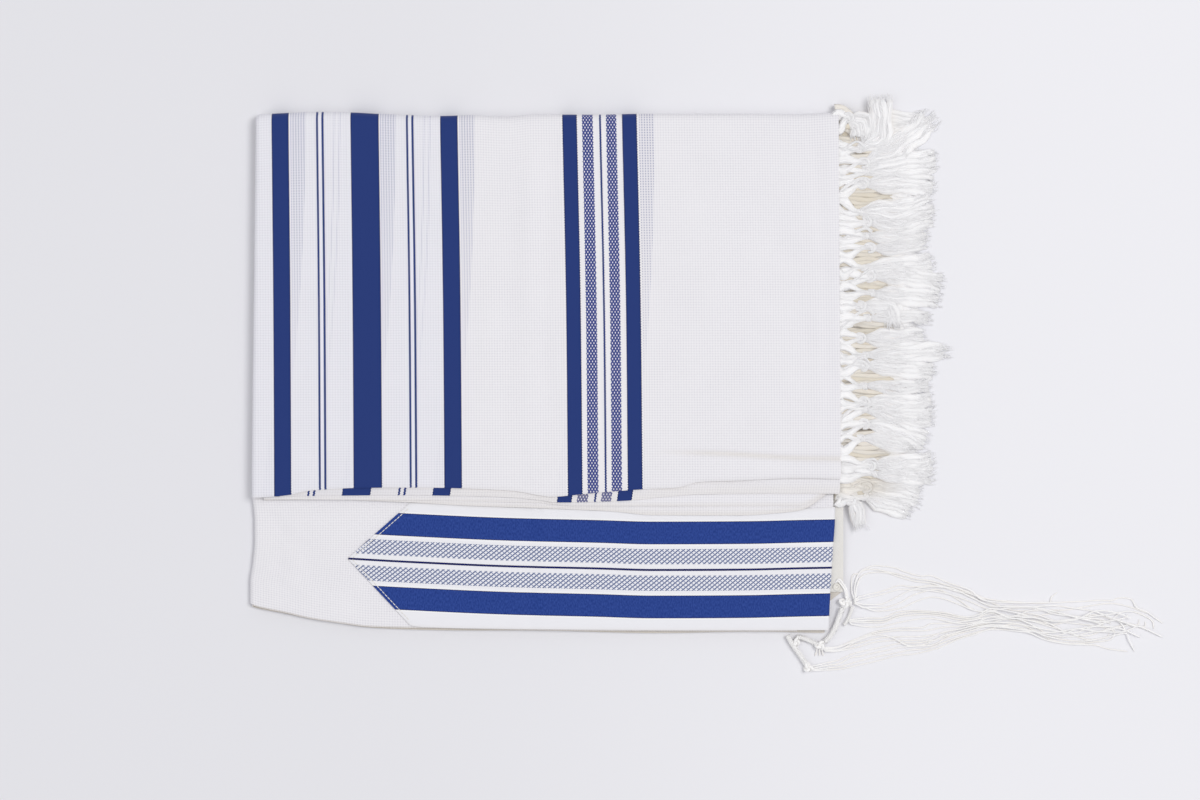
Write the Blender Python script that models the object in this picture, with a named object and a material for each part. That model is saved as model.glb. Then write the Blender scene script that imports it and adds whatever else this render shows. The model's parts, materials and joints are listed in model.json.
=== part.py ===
# Tallit (prayer shawl), folded flat for storage.
#
# The cloth is 0.61 m wide and 1.60 m long. Its length is folded into
# quarters, so both fringed ends and the centre fold come to +X and the other
# folds to -X; then its far side is turned over at +Y, onto the near side. Eight
# plies lie under the turned-over part and four under the near strip, where
# the neckband (atarah) shows. The stack rests on z = 0.
#
# Sizes are in millimetres until a mesh is made, then in metres.
# X runs along the cloth's length, Y across its width, +Z is up.
import math

import bpy
import bmesh
from mathutils import Vector

MM = 0.001

# ---- driving sizes -------------------------------------------------------
PLY = 1.2               # wall of a cloth ply that shows
BAND = 1.0              # wall of the neckband, laid on its panel
SEAM = 0.3              # air between neighbouring pieces

X_LEFT = -234.2         # left folds
X_HEM = 167.3           # fringed hems of the two end quarters
Y_FOLD = 169.0          # back fold, where the width is turned over
Y_FRONT = -184.0        # front edge of the lowest plies
Y_BACK_OF_STRIP = -72.0 # the hidden layers stop here in the upper stack

Z_HIDDEN_LOW = 4.6      # top of the hidden layers under the neckband strip
Z_CENTRE = 6.1          # top of the centre quarter
Z_BAND = 7.4            # top of the neckband
Z_PAIR_LOW = 7.7        # underside of the folded centre pair
Z_PAIR_MID = 8.8
Z_PAIR_TOP = 9.9
Z_SECOND = 11.3         # top of the second end quarter
Z_TOP = 12.8            # top of the upper end quarter

R_LOW = Z_CENTRE / 2.0              # nose of the lower left fold
R_HIGH = 3.2                        # nose of the upper left fold
R_BACK = Z_TOP / 2.0                # nose of the back fold

GREY = (0.83, 0.83, 0.87)


def table(columns, rows):
    return [dict(zip(columns, row)) for row in rows]


# ---- outlines: one row for each bend of an edge --------------------------
BACK_FOLD = table(("x", "y"), [
    (-236, 168.6), (-194, 170.3), (-167, 170.0), (-148, 169.0), (-106, 167.6),
    (-84, 168.1), (-60, 167.1), (-43, 168.6), (3, 168.5), (31, 169.1),
    (113, 169.1), (140, 168.7), (168, 170.3)])
LEFT_FOLDS = table(("y", "x"), [
    (-184, -235.8), (-165, -235.8), (-152.6, -234.5), (-126, -232.8),
    (-108, -232.8), (-92, -234.2), (-74, -234.2), (42, -232.8),
    (158, -231.5), (184, -231.5)])
HEM_DRIFT = table(("y", "dx"), [
    (-184, 0.0), (-80, 0.0), (42, -0.7), (158, -1.4), (184, -1.4)])
FRONT_EDGE = table(("x", "y"), [
    (-236, -165.1), (-228, -167.6), (-211, -171.1), (-194, -175.1),
    (-172, -178.5), (-154, -180.8), (-109, -181.9), (-31, -183.3),
    (60, -184.0), (170, -184.0)])
END_EDGE = table(("x", "y"), [
    (-236, -93.2), (-217, -91.9), (-206, -90.6), (-197, -88.4),
    (-166, -86.3), (-124, -86.0), (-90, -86.5), (-55, -88.4),
    (-38, -91.3), (-29, -92.3), (-2, -89.8), (34, -87.0), (57, -85.9),
    (70, -82.3), (96, -81.3), (136, -79.5), (168, -80.2)])
SECOND_EDGE = table(("x", "y"), [
    (-236, -92.4), (-196, -91.7), (-130, -91.2), (-65, -92.3),
    (-41, -94.2), (-27, -96.1), (-14, -96.1), (25, -94.7), (48, -92.2),
    (70, -90.6), (121, -90.0), (168, -90.2)])
PAIR_UPPER_EDGE = table(("x", "y"), [
    (-236, -93.9), (-113, -94.9), (-38, -96.6), (-17, -98.5), (90, -98.7),
    (140, -98.6), (156, -90.0), (166, -84.0)])
PAIR_LOWER_EDGE = table(("x", "y"), [
    (-236, -94.9), (-182, -94.2), (-126, -96.2), (-84, -98.5),
    (-38, -100.0), (12, -102.3), (38, -104.8), (100, -105.0),
    (132, -102.7), (143.3, -100.4), (156, -91.8), (166, -85.0)])
# Neckband: its near and far edges from the point to the centre fold.
BAND_FAR = table(("x", "y"), [
    (-168.5, -133.9), (-126.3, -96.5), (-65, -99.3), (3, -100.7),
    (72, -102.0), (106, -102.4), (140, -100.7), (170, -99.0)])
BAND_NEAR = table(("x", "y"), [
    (-168.5, -135.1), (-126.8, -180.1), (-109, -181.6), (-31, -182.8),
    (60, -183.4), (170, -183.4)])
# How far the centre fold at +X leans in along the strip.
CENTRE_FOLD = table(("y", "dx"), [
    (-184, -4.1), (-165.5, -3.5), (-124, -1.0), (-109, 0.0), (-72, 0.6)])
# Hem of the lower end quarters: it shows behind the neckband, then turns in.
LOWER_HEM = table(("y", "x"), [
    (-184, 157.0), (-167, 157.0), (-158, 168.2), (-92, 168.2),
    (-86, 166.6), (184, 166.6)])
# Crease that sets off the rolled edge of the upper quarter near the fringe.
ROLL = table(("x", "y", "rise"), [
    (20, -66.0, 0.0), (48, -63.0, 0.5), (90, -64.0, 1.0),
    (132, -66.6, 1.2), (168, -67.4, 1.2)])

FRINGE = table(("y", "inner", "reach", "height"), [
    (-114.6, 179.0, 187.0, 3.0), (-103, 174.0, 197.0, 7.0),
    (-91, 170.5, 209.0, 10.5), (-80, 167.8, 226.0, 12.0),
    (-58, 167.8, 233.0, 12.6), (-26, 167.8, 229.0, 12.6),
    (4, 167.8, 236.2, 12.6), (30, 167.8, 230.0, 12.6),
    (60, 167.8, 235.8, 12.6), (92, 167.8, 229.0, 12.6),
    (120, 167.8, 233.0, 12.6), (150, 167.8, 228.0, 12.6),
    (166, 167.8, 231.0, 12.0), (174, 169.5, 212.0, 10.0),
    (182.7, 173.0, 190.0, 7.0)])

# Loose strands of the corner tassels, as one flat bundle on the table.
STRANDS = table(("x", "near", "far", "height"), [
    (149.2, -210.0, -199.5, 3.0), (158, -208.4, -198.4, 3.6),
    (167.2, -206.5, -190.1, 4.0), (175.4, -205.1, -171.0, 4.6),
    (179.5, -202.4, -142.3, 5.0), (188, -200.3, -139.6, 5.0),
    (208, -198.3, -141.0, 5.0), (229, -194.2, -145.7, 5.0),
    (249, -190.8, -154.6, 5.0), (266, -187.4, -160.8, 5.0),
    (283, -184.6, -162.4, 5.0), (304, -190.1, -157.5, 5.0),
    (324, -193.5, -162.0, 4.5), (345, -194.6, -160.5, 4.0),
    (362, -198.5, -160.5, 3.5), (372, -197.0, -166.0, 3.0),
    (389, -190.5, -176.5, 2.4)])


# ---- small tools ---------------------------------------------------------
def read(rows, key, value, at):
    """Smooth reading of a table: cubic between rows, flat past its ends."""
    if at <= rows[0][key]:
        return rows[0][value]
    if at >= rows[-1][key]:
        return rows[-1][value]
    n = len(rows)
    for i in range(n - 1):
        a, b = rows[i], rows[i + 1]
        if at <= b[key]:
            break

    def slope(k):
        lo, hi = rows[max(k - 1, 0)], rows[min(k + 1, n - 1)]
        return (hi[value] - lo[value]) / (hi[key] - lo[key])
    span = b[key] - a[key]
    steep = (b[value] - a[value]) / span

    def tame(s):
        return 0.0 if s * steep <= 0 else math.copysign(
            min(abs(s), 2.5 * abs(steep)), steep)
    m0, m1 = tame(slope(i)) * span, tame(slope(i + 1)) * span
    t = (at - a[key]) / span
    return ((2 * t ** 3 - 3 * t ** 2 + 1) * a[value] + (t ** 3 - 2 * t ** 2 + t) * m0
            + (3 * t ** 2 - 2 * t ** 3) * b[value] + (t ** 3 - t ** 2) * m1)


def ease(t):
    t = min(max(t, 0.0), 1.0)
    return t * t * (3 - 2 * t)


def steps(a, b, n):
    return [a + (b - a) * i / n for i in range(n + 1)]


def settle(p):
    """Moves a point of the square-cut stack to where the real edges lie."""
    x, y, z = p
    left = (read(LEFT_FOLDS, "y", "x", y) - X_LEFT) * ease((-90 - x) / 140)
    right = read(HEM_DRIFT, "y", "dx", y) * ease((x - 60) / 100)
    back = (read(BACK_FOLD, "x", "y", x) - Y_FOLD) * ease((y - 60) / 100)
    front = (read(FRONT_EDGE, "x", "y", x) - Y_FRONT) * ease((-110 - y) / 72)
    return (x + left + right, y + back + front, z)


def lean(p):
    """The centre fold's lean, for the two pieces that turn round it."""
    x, y, z = p
    return (x + read(CENTRE_FOLD, "y", "dx", y) * ease((x - 60) / 100), y, z)


def material(name, colour, roughness):
    mat = bpy.data.materials.new(name)
    mat.use_nodes = True
    shader = mat.node_tree.nodes["Principled BSDF"]
    shader.inputs["Base Color"].default_value = (*colour, 1.0)
    shader.inputs["Roughness"].default_value = roughness
    shader.inputs["Metallic"].default_value = 0.0
    return mat


def place(name, verts, faces, mat, smooth=True):
    mesh = bpy.data.meshes.new(name)
    mesh.from_pydata([(x * MM, y * MM, z * MM) for x, y, z in verts], [], faces)
    bm = bmesh.new()
    bm.from_mesh(mesh)
    bmesh.ops.recalc_face_normals(bm, faces=bm.faces)
    if bm.calc_volume(signed=True) < 0:
        bmesh.ops.reverse_faces(bm, faces=bm.faces)
    bm.to_mesh(mesh)
    bm.free()
    mesh.materials.append(mat)
    if smooth:
        mesh.shade_smooth()
        mesh.set_sharp_from_angle(angle=math.radians(40))
    obj = bpy.data.objects.new(name, mesh)
    bpy.context.scene.collection.objects.link(obj)
    return obj


def wall(name, outer, inner, mat):
    """A closed wall between two grids of points, row by row."""
    rows, cols = len(outer), len(outer[0])
    verts = [p for row in outer for p in row] + [p for row in inner for p in row]
    half = rows * cols
    faces = []
    for r in range(rows - 1):
        for c in range(cols - 1):
            a, b = r * cols + c, r * cols + c + 1
            d, e = a + cols, b + cols
            faces.append((a, b, e, d))
            faces.append((a + half, d + half, e + half, b + half))
    rim = ([(0, c) for c in range(cols)] + [(r, cols - 1) for r in range(1, rows)]
           + [(rows - 1, c) for c in range(cols - 2, -1, -1)]
           + [(r, 0) for r in range(rows - 2, 0, -1)])
    for k in range(len(rim)):
        a = rim[k][0] * cols + rim[k][1]
        b = rim[(k + 1) % len(rim)][0] * cols + rim[(k + 1) % len(rim)][1]
        faces.append((a, a + half, b + half, b))
    return place(name, verts, faces, mat)


def loft(name, rings, mat):
    """A closed solid through rings of the same number of points."""
    n = len(rings[0])
    verts = [p for ring in rings for p in ring]
    faces = []
    for r in range(len(rings) - 1):
        for k in range(n):
            a, b = r * n + k, r * n + (k + 1) % n
            faces.append((a, b, b + n, a + n))
    faces.append(tuple(range(n - 1, -1, -1)))
    last = (len(rings) - 1) * n
    faces.append(tuple(range(last, last + n)))
    return place(name, verts, faces, mat)


# ---- the cloth that shows ------------------------------------------------
def left_turn(radius, depth, turn, count, bottom):
    """Path round a left fold, from under the stack to its upper face.

    Gives (x, depth below the upper face) at a wall's depth in the nose.
    """
    path = []
    for k in range(count + 1):
        a = turn * (1 - k / count)
        r = radius - depth
        path.append((X_LEFT + radius - r * math.sin(a), radius - r * math.cos(a)))
    return path


def end_panel(mat):
    """Upper end quarter: its wrong side shows, round both folds."""
    flat_x = [-222, -206, -190, -172, -154, -136, -118, -100, -82, -66, -50,
              -38, -28, -14, 0, 16, 34, 48, 60, 72, 90, 110, 132, 150, X_HEM]
    grids = []
    for depth in (0.0, PLY):
        path = left_turn(R_HIGH, depth, math.radians(150), 5, 0.0)
        path += [(x, depth) for x in flat_x]
        rows = []
        for k in range(9):                       # round the back fold
            b = math.pi * (1 - k / 8)
            rows.append([settle((x,
                                 Y_FOLD - R_BACK + (R_BACK - w) * math.sin(b),
                                 R_BACK + (R_BACK - w) * math.cos(b)))
                         for x, w in path])
        shares = [0.06, 0.18, 0.32, 0.46, 0.6, 0.72, 0.82, 0.88, 0.915, 0.94,
                  0.965, 0.985, 1.0]
        for share in shares:                     # across the upper face
            row = []
            for x, w in path:
                near = read(END_EDGE, "x", "y", x)
                y = (Y_FOLD - R_BACK) * (1 - share) + near * share
                x2, y2, z = settle((x, y, Z_TOP - w))
                crease = read(ROLL, "x", "y", x)
                rise = read(ROLL, "x", "rise", x)
                if y < crease and x > 20:
                    along = (crease - y) / max(crease - near, 1.0)
                    z += rise * math.sin(math.pi * min(along * 0.8, 1.0))
                z += 0.35 * (1 + math.sin(x / 31.0 + y / 47.0)) * ease((x + 215) / 40) \
                    * ease((150 - y) / 40) * ease((y + 60) / 30)
                row.append((x2, y2, z))
            rows.append(row)
        grids.append(rows)
    return wall("end_panel", grids[0], grids[1], mat)


def second_panel(mat):
    """The other end quarter, where its edge shows under the first."""
    xs = [X_LEFT + 5, -212, -180, -150, -130, -98, -65, -50, -41, -34, -27, -20,
          -8, 10, 25, 48, 60, 70, 96, 121, 145, X_HEM - 0.4]
    top, under = [], []
    for share in (0.0, 0.45, 0.8, 1.0):
        a, b = [], []
        for x in xs:
            y = -73.5 * (1 - share) + read(SECOND_EDGE, "x", "y", x) * share
            droop = 0.25 * share
            a.append(settle((x, y, Z_SECOND - droop)))
            b.append(settle((x, y, Z_SECOND - droop - 1.0)))
        top.append(a)
        under.append(b)
    return wall("second_end_panel", top, under, mat)


def centre_pair(mat):
    """Turned-over centre quarters, two plies joined by the fold at +X."""
    xs = [X_LEFT + 5, -200, -165, -126, -100, -84, -60, -38, -17, 12, 38, 60,
          90, 115, 132, 143.3, 149.5, 156.0, 162.5]
    rings = []
    for x in xs:
        low = read(PAIR_LOWER_EDGE, "x", "y", x)
        up = max(read(PAIR_UPPER_EDGE, "x", "y", x), low + 0.35)
        back = -73.5
        rings.append([settle(p) for p in (
            (x, back, Z_PAIR_LOW), (x, low + 0.3, Z_PAIR_LOW),
            (x, low, Z_PAIR_LOW + 0.5), (x, low + 0.3, Z_PAIR_MID - 0.05),
            (x, up + 0.3, Z_PAIR_MID + 0.05), (x, up, Z_PAIR_MID + 0.55),
            (x, up + 0.3, Z_PAIR_TOP), (x, back, Z_PAIR_TOP))])
    return loft("centre_fold", rings, mat)


def centre_turn(depth, outside):
    """Path round the centre fold at +X, down from a face's height."""
    cx, cz = 162.5 - 1.9, Z_CENTRE - 1.9
    r = 1.9 + outside - depth
    return [(cx + r * math.sin(a), cz + r * math.cos(a))
            for a in steps(0.0, math.pi / 2, 4)]


def centre_panel(mat):
    """Centre quarter, the ground of the neckband, round its left fold."""
    flat_x = [-222, -208, -190, -168, -145, -120, -90, -60, -30, 0, 30, 60,
              90, 120, 145]
    ys = [-72.4, -90, -104, -118, -132, -146, -160, -172, -183.4]
    grids = []
    for depth in (0.0, PLY):
        path = [(x, Z_CENTRE - w) for x, w in
                left_turn(R_LOW, depth, math.pi, 7, 0.0)]
        path += [(x, Z_CENTRE - depth) for x in flat_x]
        path += centre_turn(depth, 0.0)
        grids.append([[settle(lean((x, y, z))) for x, z in path] for y in ys])
    return wall("centre_panel", grids[0], grids[1], mat)


def neckband(mat):
    """Atarah: a woven band with a pointed end, laid on the centre panel."""
    flat_x = [-168.5, -160, -150, -140, -132, -126.5, -112, -95, -70, -45, -20,
              5, 30, 55, 80, 105, 130, 148]
    lift = BAND + SEAM
    grids = []
    for depth in (0.0, BAND):
        path = [(x, Z_CENTRE + lift - depth) for x in flat_x]
        path += centre_turn(depth, lift)
        rows = []
        for share in steps(0.0, 1.0, 6):
            row = []
            for x, z in path:
                far = read(BAND_FAR, "x", "y", x)
                near = read(BAND_NEAR, "x", "y", x)
                if x < -126.3:
                    t = (x + 168.5) / 42.2
                    far = -133.9 + 37.4 * t
                    near = -135.1 - 45.0 * t
                row.append(settle_band(lean((x, far * (1 - share) + near * share, z))))
            rows.append(row)
        grids.append(rows)
    return wall("atarah", grids[0], grids[1], mat)


def settle_band(p):
    """The band's edges are already true; only the left drift is left out."""
    return p


# ---- the hidden layers ---------------------------------------------------
def ply_inset(z, pitch, depth):
    """Layered edge: each ply stands out, and the seams between them dip."""
    return depth * (1.0 - abs(math.sin(math.pi * z / pitch)))


def back_reach(z):
    """Inside of the back fold, at this height."""
    if z < 1.4:
        return Y_FOLD - R_BACK - 0.5
    r = R_BACK - PLY - 2 * SEAM
    return Y_FOLD - R_BACK + math.sqrt(max(r * r - (z - R_BACK) ** 2, 0.0))


def left_side(y, z):
    """Lower left fold by itself behind the strip, inside its wall in front."""
    corner = 1 - ease((y - (Y_FOLD - 17)) / 9.0)       # 0 in the back corner
    if z <= Z_CENTRE + 0.1:
        nose = math.sqrt(max(R_LOW ** 2 - (z - R_LOW) ** 2, 0.0))
        r = R_LOW - PLY - SEAM
        inner = math.sqrt(max(r * r - (z - R_LOW) ** 2, 0.0))
        free = ease((y + 71.7) / 1.4)                  # 1 behind the strip
        reach = inner * (1 - free) + nose * free
        start = 0.35 * (1 - free) if z < 1.6 else 0.0
        return X_LEFT + R_LOW + start - reach * corner + (1 - corner) * 0.8
    r = R_HIGH - PLY - SEAM
    inner = math.sqrt(max(r * r - (z - (Z_TOP - R_HIGH)) ** 2, 0.0))
    return X_LEFT + R_HIGH + 0.05 - inner * corner + (1 - corner) * 0.7


def hidden_ring(z, y_front, left_ys, right_ys, right_x, shrink=0.0):
    """Plan outline of the hidden layers at one height."""
    back = back_reach(z) - shrink
    front_in = ply_inset(z, 1.5, 0.9) + shrink
    front = y_front + front_in
    ring = []
    xl = left_side(y_front, z) + shrink
    xr = right_x(y_front, z) - shrink
    for x in steps(xl, xr, 26)[:-1]:
        ring.append((x, front, z))
    for y in right_ys:
        y = min(max(y, front), back)
        ring.append((right_x(y, z) - shrink, y, z))
    ring[26] = (xr, front, z)
    xr = right_x(back, z) - shrink
    xl = left_side(back, z) + shrink
    ring[-1] = (xr, back, z)
    for x in steps(xr, xl, 26)[1:]:
        ring.append((x, back, z))
    for y in left_ys:
        ring.append((left_side(y, z) + shrink, y, z))
    return [settle(p) for p in ring]


def hidden_layers(mat):
    low_right = [Y_FRONT, -175, -167, -162.5, -158, -130, -108, -92, -86,
                 -71.5, -70.0, -68.5, -20, 60, 110, Y_FOLD]
    low_left = [Y_FOLD - 8, Y_FOLD - 11, Y_FOLD - 14, Y_FOLD - 17, 100, 42,
                -20, -60, -70.3, -71.0, -71.7, -90, -104, -118, -132, -146,
                -160, -172]

    def right_low(y, z):
        edge = read(LOWER_HEM, "y", "x", y) - ply_inset(z, 1.3, 0.8)
        if z < 2.7:
            return edge
        behind = ease((y + 71.5) / 3.0)         # clear of the centre fold's turn
        return edge * behind + 139.6 * (1 - behind)
    levels = [0.0, 0.35, 0.65, 1.05, 1.3, 1.6, 1.95, 2.35, 2.6, 2.75, 3.1,
              3.6, 4.1, Z_HIDDEN_LOW]
    low = loft("hidden_layers", [
        hidden_ring(z, Y_FRONT, low_left, low_right, right_low) for z in levels], mat)

    high_right = [Y_BACK_OF_STRIP, -40, 0, 40, 80, 120, Y_FOLD]
    high_left = [Y_FOLD - 8, Y_FOLD - 12, Y_FOLD - 17, 120, 80, 40, 0, -40]

    def right_high(y, z):
        fold_in = 3.4 if z < 9.8 else 0.0
        return X_HEM - 0.6 - fold_in - ply_inset(z, 1.3, 0.9)
    levels = [4.2, 4.9, 5.2, 5.85, 6.1, 6.35, 6.5, 7.15, 7.8, 8.45, 9.1, 9.75,
              9.85, 10.4, 11.05, Z_SECOND]
    high = loft("hidden_upper", [
        hidden_ring(z, Y_BACK_OF_STRIP, high_left, high_right, right_high,
                    shrink=0.45 if z < 4.5 else 0.0) for z in levels], mat)
    join = low.modifiers.new("join", "BOOLEAN")
    join.operation = "UNION"
    join.object = high
    high.hide_render = True
    high.display_type = "WIRE"
    return low


# ---- trim ----------------------------------------------------------------
def corner_patch(mat):
    """Twill patch that backs the tassel's corner, past the centre fold."""
    xs = [140.2, 150, 160, 166, 169.8]
    ys = [-89.5, -106, -122, -138, -150, -157.5]
    top = [[(x, y, 3.9 - (0.35 if x > 169 else 0.0)) for x in xs] for y in ys]
    under = [[(x, y, 2.9) for x in xs] for y in ys]
    return wall("corner_patch", top, under, mat)


def fringes(mat):
    """Reach of the knotted fringes: the upper end's lies on the second's."""
    over, under = [], []
    for row in FRINGE:
        y, x0, reach, h = (row[k] for k in ("y", "inner", "reach", "height"))
        run = reach - x0
        k = h / 12.6
        u = x0 + 0.84 * run
        over.append([settle((x0 + a * run, y, z)) if a is not None
                     else settle((x, y, z)) for a, x, z in (
            (0.0, 0, 6.8 * k), (0.26, 0, 5.8 * k), (0.55, 0, 4.3 * k),
            (None, u, 2.9 * k), (None, u + 0.06 * run, 0.0), (0.965, 0, 0.0),
            (1.0, 0, 0.9 * k), (0.96, 0, 2.2 * k), (0.62, 0, 6.2 * k),
            (0.3, 0, 9.6 * k), (0.08, 0, 12.1 * k), (0.0, 0, 12.6 * k))])
        under.append([settle((x0 + a * run, y, z)) for a, z in (
            (0.0, 0.0), (0.80, 0.0), (0.83, 0.8 * k), (0.80, 1.8 * k),
            (0.55, 3.5 * k), (0.26, 5.0 * k), (0.0, 6.0 * k))])
    return loft("fringe_end", over, mat), loft("fringe_second_end", under, mat)


def smooth_path(points, count):
    """Catmull-Rom curve through the points, read at even shares."""
    pts = [Vector(p) for p in points]
    pts = [pts[0] * 2 - pts[1]] + pts + [pts[-1] * 2 - pts[-2]]
    spans = len(pts) - 3
    out = []
    for k in range(count + 1):
        t = spans * k / count
        i = min(int(t), spans - 1)
        t -= i
        a, b, c, d = pts[i:i + 4]
        out.append(0.5 * (2 * b + (c - a) * t + (2 * a - 5 * b + 4 * c - d) * t * t
                          + (3 * b - a - 3 * c + d) * t ** 3))
    return out


def cord(name, points, diameter, count, mat):
    curve = bpy.data.curves.new(name, "CURVE")
    curve.dimensions = "3D"
    curve.bevel_depth = diameter / 2 * MM
    curve.bevel_resolution = 2
    curve.use_fill_caps = True
    spline = curve.splines.new("POLY")
    path = smooth_path(points, count)
    spline.points.add(len(path) - 1)
    for point, p in zip(spline.points, path):
        point.co = (*(p * MM), 1.0)
    curve.materials.append(mat)
    obj = bpy.data.objects.new(name, curve)
    bpy.context.scene.collection.objects.link(obj)
    return obj


def knot(name, centre, radii, turn, mat):
    """A knot as a turned, slightly squared bead."""
    rings = []
    for lat in steps(-80, 80, 6):
        a = math.radians(lat)
        ring = []
        for k in range(12):
            b = 2 * math.pi * k / 12
            x = radii[0] * math.cos(a) * math.cos(b)
            y = radii[1] * math.cos(a) * math.sin(b)
            c, s = math.cos(turn), math.sin(turn)
            ring.append((centre[0] + x * c - y * s, centre[1] + x * s + y * c,
                         centre[2] + radii[2] * math.sin(a)))
        rings.append(ring)
    return loft(name, rings, mat)


def strands(mat):
    rings = []
    for row in STRANDS:
        x, near, far, h = (row[k] for k in ("x", "near", "far", "height"))
        r = min(1.5, (far - near) * 0.3)
        rings.append([(x, near, 0.8), (x, near + r, 0.05), (x, far - r, 0.05),
                      (x, far, 0.8), (x, far - r, h * 0.85),
                      (x, (near + far) / 2, h), (x, near + r, h * 0.85)])
    return loft("tzitzit_strands", rings, mat)


def tassels(mat):
    cord("tzitzit_a_loop", [(165.6, -150.5, 5.7), (167.6, -153.0, 5.8),
                            (170.2, -155.6, 5.4), (171.6, -158.2, 4.4),
                            (171.6, -160.2, 3.7)], 2.6, 6, mat)
    knot("tzitzit_a_knot", (170.2, -165.1, 3.1), (4.6, 3.4, 3.0), -0.2, mat)
    cord("tzitzit_a_winding", [(168.6, -169.7, 3.1), (166.4, -175.5, 3.1),
                               (163.9, -182.0, 3.1), (160.6, -187.6, 3.1),
                               (157.3, -190.8, 3.1)], 5.8, 8, mat)
    knot("tzitzit_b_knot", (153.6, -194.2, 3.1), (3.5, 3.2, 3.0), 0.4, mat)
    cord("tzitzit_b_winding", [(138.2, -188.4, 2.5), (143.5, -189.6, 2.5),
                               (149.2, -192.2, 2.5)], 4.6, 5, mat)
    cord("tzitzit_c_winding", [(131.6, -187.9, 2.8), (135.0, -193.6, 2.8),
                               (139.4, -199.8, 2.8), (143.2, -205.4, 2.8)],
         5.2, 7, mat)
    knot("tzitzit_c_knot", (145.6, -209.4, 3.1), (3.4, 3.2, 3.0), -0.9, mat)
    strands(mat)


def main():
    for obj in list(bpy.data.objects):
        bpy.data.objects.remove(obj, do_unlink=True)
    wool = material("wool", (0.82, 0.82, 0.86), 0.9)
    band = material("band", (0.30, 0.36, 0.58), 0.55)
    tape = material("tape", (0.83, 0.81, 0.77), 0.85)
    yarn = material("yarn", (0.84, 0.83, 0.82), 0.9)
    hidden_layers(wool)
    centre_panel(wool)
    neckband(band)
    centre_pair(wool)
    second_panel(wool)
    end_panel(wool)
    corner_patch(tape)
    fringes(yarn)
    tassels(yarn)


main()
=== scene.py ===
import json
import math

import bpy
import numpy as np
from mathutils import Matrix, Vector

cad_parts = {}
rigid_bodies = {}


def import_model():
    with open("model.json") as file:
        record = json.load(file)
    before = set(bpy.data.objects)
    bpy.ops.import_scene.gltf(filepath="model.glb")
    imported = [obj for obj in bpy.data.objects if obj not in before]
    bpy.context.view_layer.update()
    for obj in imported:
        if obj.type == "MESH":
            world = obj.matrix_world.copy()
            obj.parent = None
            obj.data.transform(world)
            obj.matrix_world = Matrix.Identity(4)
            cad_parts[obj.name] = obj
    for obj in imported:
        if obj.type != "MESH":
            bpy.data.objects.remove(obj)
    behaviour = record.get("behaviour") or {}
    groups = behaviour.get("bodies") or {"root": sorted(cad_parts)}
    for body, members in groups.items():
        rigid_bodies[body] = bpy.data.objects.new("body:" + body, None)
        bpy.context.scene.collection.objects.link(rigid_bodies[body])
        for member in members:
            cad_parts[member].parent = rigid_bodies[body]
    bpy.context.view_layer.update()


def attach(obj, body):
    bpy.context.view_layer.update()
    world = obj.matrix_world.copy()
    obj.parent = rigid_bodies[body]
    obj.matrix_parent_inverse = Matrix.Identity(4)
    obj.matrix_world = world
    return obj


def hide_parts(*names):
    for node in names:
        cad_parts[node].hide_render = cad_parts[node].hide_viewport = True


for old in list(bpy.data.objects):
    bpy.data.objects.remove(old, do_unlink=True)

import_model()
MM = 0.001
scene = bpy.context.scene
scene.view_settings.view_transform = "Standard"
scene.view_settings.look = "None"

# ---- camera, straight down on the table ----------------------------------
VIEW_X, VIEW_Y, VIEW_WIDTH, VIEW_Z = 3.3, -26.3, 819.1, 7.0
camera_data = bpy.data.cameras.new("camera")
camera_data.sensor_width = 36.0
camera_data.lens = 120.0
camera_data.clip_end = 20.0
camera = bpy.data.objects.new("camera", camera_data)
scene.collection.objects.link(camera)
camera.location = Vector((VIEW_X, VIEW_Y, VIEW_Z + VIEW_WIDTH * 120.0 / 36.0)) * MM
scene.camera = camera


# ---- reading tables ------------------------------------------------------
def read(rows, at):
    """Smooth reading of a two-column table: cubic between rows, flat outside."""
    at = np.asarray(at, float)
    xs = np.array([r[0] for r in rows], float)
    ys = np.array([r[1] for r in rows], float)
    n = len(xs)
    hi, lo = np.minimum(np.arange(n) + 1, n - 1), np.maximum(np.arange(n) - 1, 0)
    slope = (ys[hi] - ys[lo]) / (xs[hi] - xs[lo])
    i = np.clip(np.searchsorted(xs, at, side="left") - 1, 0, n - 2)
    span = xs[i + 1] - xs[i]
    steep = (ys[i + 1] - ys[i]) / span

    def tame(s):
        kept = np.minimum(np.abs(s), 2.5 * np.abs(steep)) * np.sign(steep)
        return np.where(s * steep <= 0, 0.0, kept)
    m0, m1 = tame(slope[i]) * span, tame(slope[i + 1]) * span
    t = np.clip((at - xs[i]) / span, 0.0, 1.0)
    return ((2 * t ** 3 - 3 * t ** 2 + 1) * ys[i] + (t ** 3 - 2 * t ** 2 + t) * m0
            + (3 * t ** 2 - 2 * t ** 3) * ys[i + 1] + (t ** 3 - t ** 2) * m1)


def ease(t):
    t = np.clip(t, 0.0, 1.0)
    return t * t * (3 - 2 * t)


def catmull(points, step):
    """Smooth curve through the points, read at even steps of about this length."""
    p = np.asarray(points, float)
    p = np.vstack([2 * p[0] - p[1], p, 2 * p[-1] - p[-2]])
    fine = []
    for k in range(len(p) - 3):
        a, b, c, d = p[k:k + 4]
        t = np.linspace(0, 1, 24, endpoint=False)[:, None]
        fine.append(0.5 * (2 * b + (c - a) * t + (2 * a - 5 * b + 4 * c - d) * t * t
                           + (3 * b - a - 3 * c + d) * t ** 3))
    fine = np.vstack(fine + [p[-2][None]])
    run = np.concatenate([[0], np.cumsum(np.linalg.norm(np.diff(fine, axis=0), axis=1))])
    count = max(int(round(run[-1] / step)), 3)
    at = np.linspace(0, run[-1], count + 1)
    return np.stack([np.interp(at, run, fine[:, i]) for i in range(fine.shape[1])], 1)


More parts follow.
